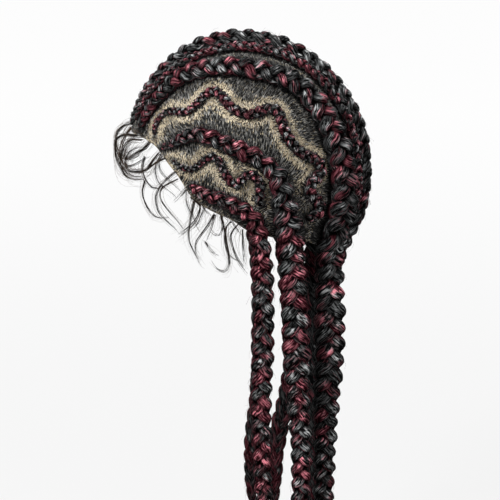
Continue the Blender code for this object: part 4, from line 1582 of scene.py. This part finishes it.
def set_backdrop(colours):
    """A round floor that curves up into a wall."""
    profile = [(share_out * STAGE_OUT, 0.0) for share_out in STAGE_FLOOR_SHARES]
    for turn in np.linspace(0, math.pi / 2, STAGE_COVE_RINGS):
        out, up = STAGE_COVE * (1 - math.sin(turn)), STAGE_COVE * (1 - math.cos(turn))
        profile.append((STAGE_OUT - out, up))
    profile.append((STAGE_OUT, STAGE_TALL))
    places = [(0, 0, FLOOR_UP)]
    for out, up in profile:
        for turn in np.arange(STAGE_SIDES) / STAGE_SIDES * 2 * math.pi:
            places.append((out * math.cos(turn), out * math.sin(turn), FLOOR_UP + up))
    quads, middle = disc_faces(len(profile), STAGE_SIDES)
    data = bpy.data.meshes.new("backdrop")
    data.from_pydata(places, [], middle.tolist() + quads.tolist())
    data.shade_smooth()
    data.materials.append(plain_stage_finish("pale_backdrop", colours.floor))
    backdrop = bpy.data.objects.new("backdrop", data)
    backdrop.visible_diffuse = False
    bpy.context.scene.collection.objects.link(backdrop)


def set_lamps():
    """Soft round lamps and a pale world."""
    scene = bpy.context.scene
    for lamp in LAMPS:
        light = bpy.data.lights.new(lamp.name, "AREA")
        light.shape = "DISK"
        light.size = lamp.size
        light.energy = lamp.power
        holder = bpy.data.objects.new(lamp.name, light)
        holder.location = lamp.place
        aim = Vector(LAMP_AIM) - Vector(lamp.place)
        holder.rotation_euler = aim.to_track_quat("-Z", "Y").to_euler()
        scene.collection.objects.link(holder)
    world = bpy.data.worlds.new("studio")
    world.use_nodes = True
    inputs = world.node_tree.nodes["Background"].inputs
    inputs["Color"].default_value = (1, 1, 1, 1)
    inputs["Strength"].default_value = WORLD_STRENGTH
    scene.world = world
    scene.view_settings.view_transform = "Standard"


def set_camera():
    """The camera, kept level, looking down at the wig from its left as in the photograph."""
    down, round_about = math.radians(CAMERA_DOWN_DEG), math.radians(CAMERA_ROUND_DEG)
    ahead, aside = math.cos(round_about), math.sin(round_about)
    look = -Vector((math.cos(down) * ahead, math.cos(down) * aside, math.sin(down)))
    right = Vector((-aside, ahead, 0))
    camera = bpy.data.cameras.new("camera")
    camera.lens = CAMERA_LENS_MM
    camera.sensor_width = CAMERA_SENSOR_MM
    holder = bpy.data.objects.new("camera", camera)
    rows = Matrix((right, right.cross(look), -look)).transposed().to_4x4()
    holder.matrix_world = Matrix.Translation(CAMERA_PLACE) @ rows
    scene = bpy.context.scene
    scene.collection.objects.link(holder)
    scene.camera = holder


def set_stage(colours):
    """The floor with its backdrop, soft lamps and the camera."""
    set_backdrop(colours)
    set_lamps()
    set_camera()


# Operators


class WIG_OT_stage(bpy.types.Operator):
    """Put up the pale floor and backdrop, the soft lamps and the camera"""

    bl_idname = "wig.stage"
    bl_label = "Stage"

    def execute(self, context):
        set_stage(context.scene.hair_colours)
        return {"FINISHED"}


class WIG_OT_braids(bpy.types.Operator):
    """Weave the three strands of every braid over its solids"""

    bl_idname = "wig.braids"
    bl_label = "Braids"

    def execute(self, context):
        scene = context.scene
        for number, braid in enumerate(BRAIDS):
            weave(braid, number, scene.braid_sizes, scene.hair_colours)
        return {"FINISHED"}


class WIG_OT_cap(bpy.types.Operator):
    """Make the lace cap with its partings"""

    bl_idname = "wig.cap"
    bl_label = "Lace cap"

    def execute(self, context):
        make_cap(context.scene.cap_sizes, context.scene.hair_colours)
        return {"FINISHED"}


class WIG_OT_flat_hair(bpy.types.Operator):
    """Lay the flat hair between the partings and the braids"""

    bl_idname = "wig.flat_hair"
    bl_label = "Flat hair"

    def execute(self, context):
        lay_flat_hair(context.scene.cap_sizes, context.scene.hair_colours)
        return {"FINISHED"}


class WIG_OT_baby_hairs(bpy.types.Operator):
    """Curl the baby hairs along the front edge on both sides"""

    bl_idname = "wig.baby_hairs"
    bl_label = "Baby hairs"

    def execute(self, context):
        curl_baby_hairs(context.scene.cap_sizes, context.scene.hair_colours)
        return {"FINISHED"}


class WIG_OT_flyaways(bpy.types.Operator):
    """Scatter loose hairs over the braids"""

    bl_idname = "wig.flyaways"
    bl_label = "Flyaway hairs"

    def execute(self, context):
        scene = context.scene
        scatter_flyaways(scene.braid_sizes, scene.cap_sizes, scene.hair_colours)
        return {"FINISHED"}


STEPS = (
    WIG_OT_stage,
    WIG_OT_braids,
    WIG_OT_cap,
    WIG_OT_flat_hair,
    WIG_OT_flyaways,
    WIG_OT_baby_hairs,
)
GROUPS = {"braid_sizes": BraidSizes, "cap_sizes": CapSizes, "hair_colours": HairColours}


class WIG_PT_panel(bpy.types.Panel):
    """Lists the wig's pieces"""

    bl_idname = "WIG_PT_panel"
    bl_label = "Braid wig"
    bl_space_type = "VIEW_3D"
    bl_region_type = "UI"
    bl_category = "Braid wig"

    def draw(self, context):
        for step in STEPS:
            self.layout.operator(step.bl_idname)
        for name, group in GROUPS.items():
            values = getattr(context.scene, name)
            for key in group.__annotations__:
                self.layout.prop(values, key)


def register():
    for made in (*GROUPS.values(), *STEPS, WIG_PT_panel):
        bpy.utils.register_class(made)
    for name, group in GROUPS.items():
        setattr(bpy.types.Scene, name, PointerProperty(type=group))


def unregister():
    for name in GROUPS:
        delattr(bpy.types.Scene, name)
    for made in (WIG_PT_panel, *reversed(STEPS), *GROUPS.values()):
        bpy.utils.unregister_class(made)


def main():
    register()
    for step in STEPS:
        group, name = step.bl_idname.split(".")
        getattr(getattr(bpy.ops, group), name)()


if __name__ == "__main__":
    main()
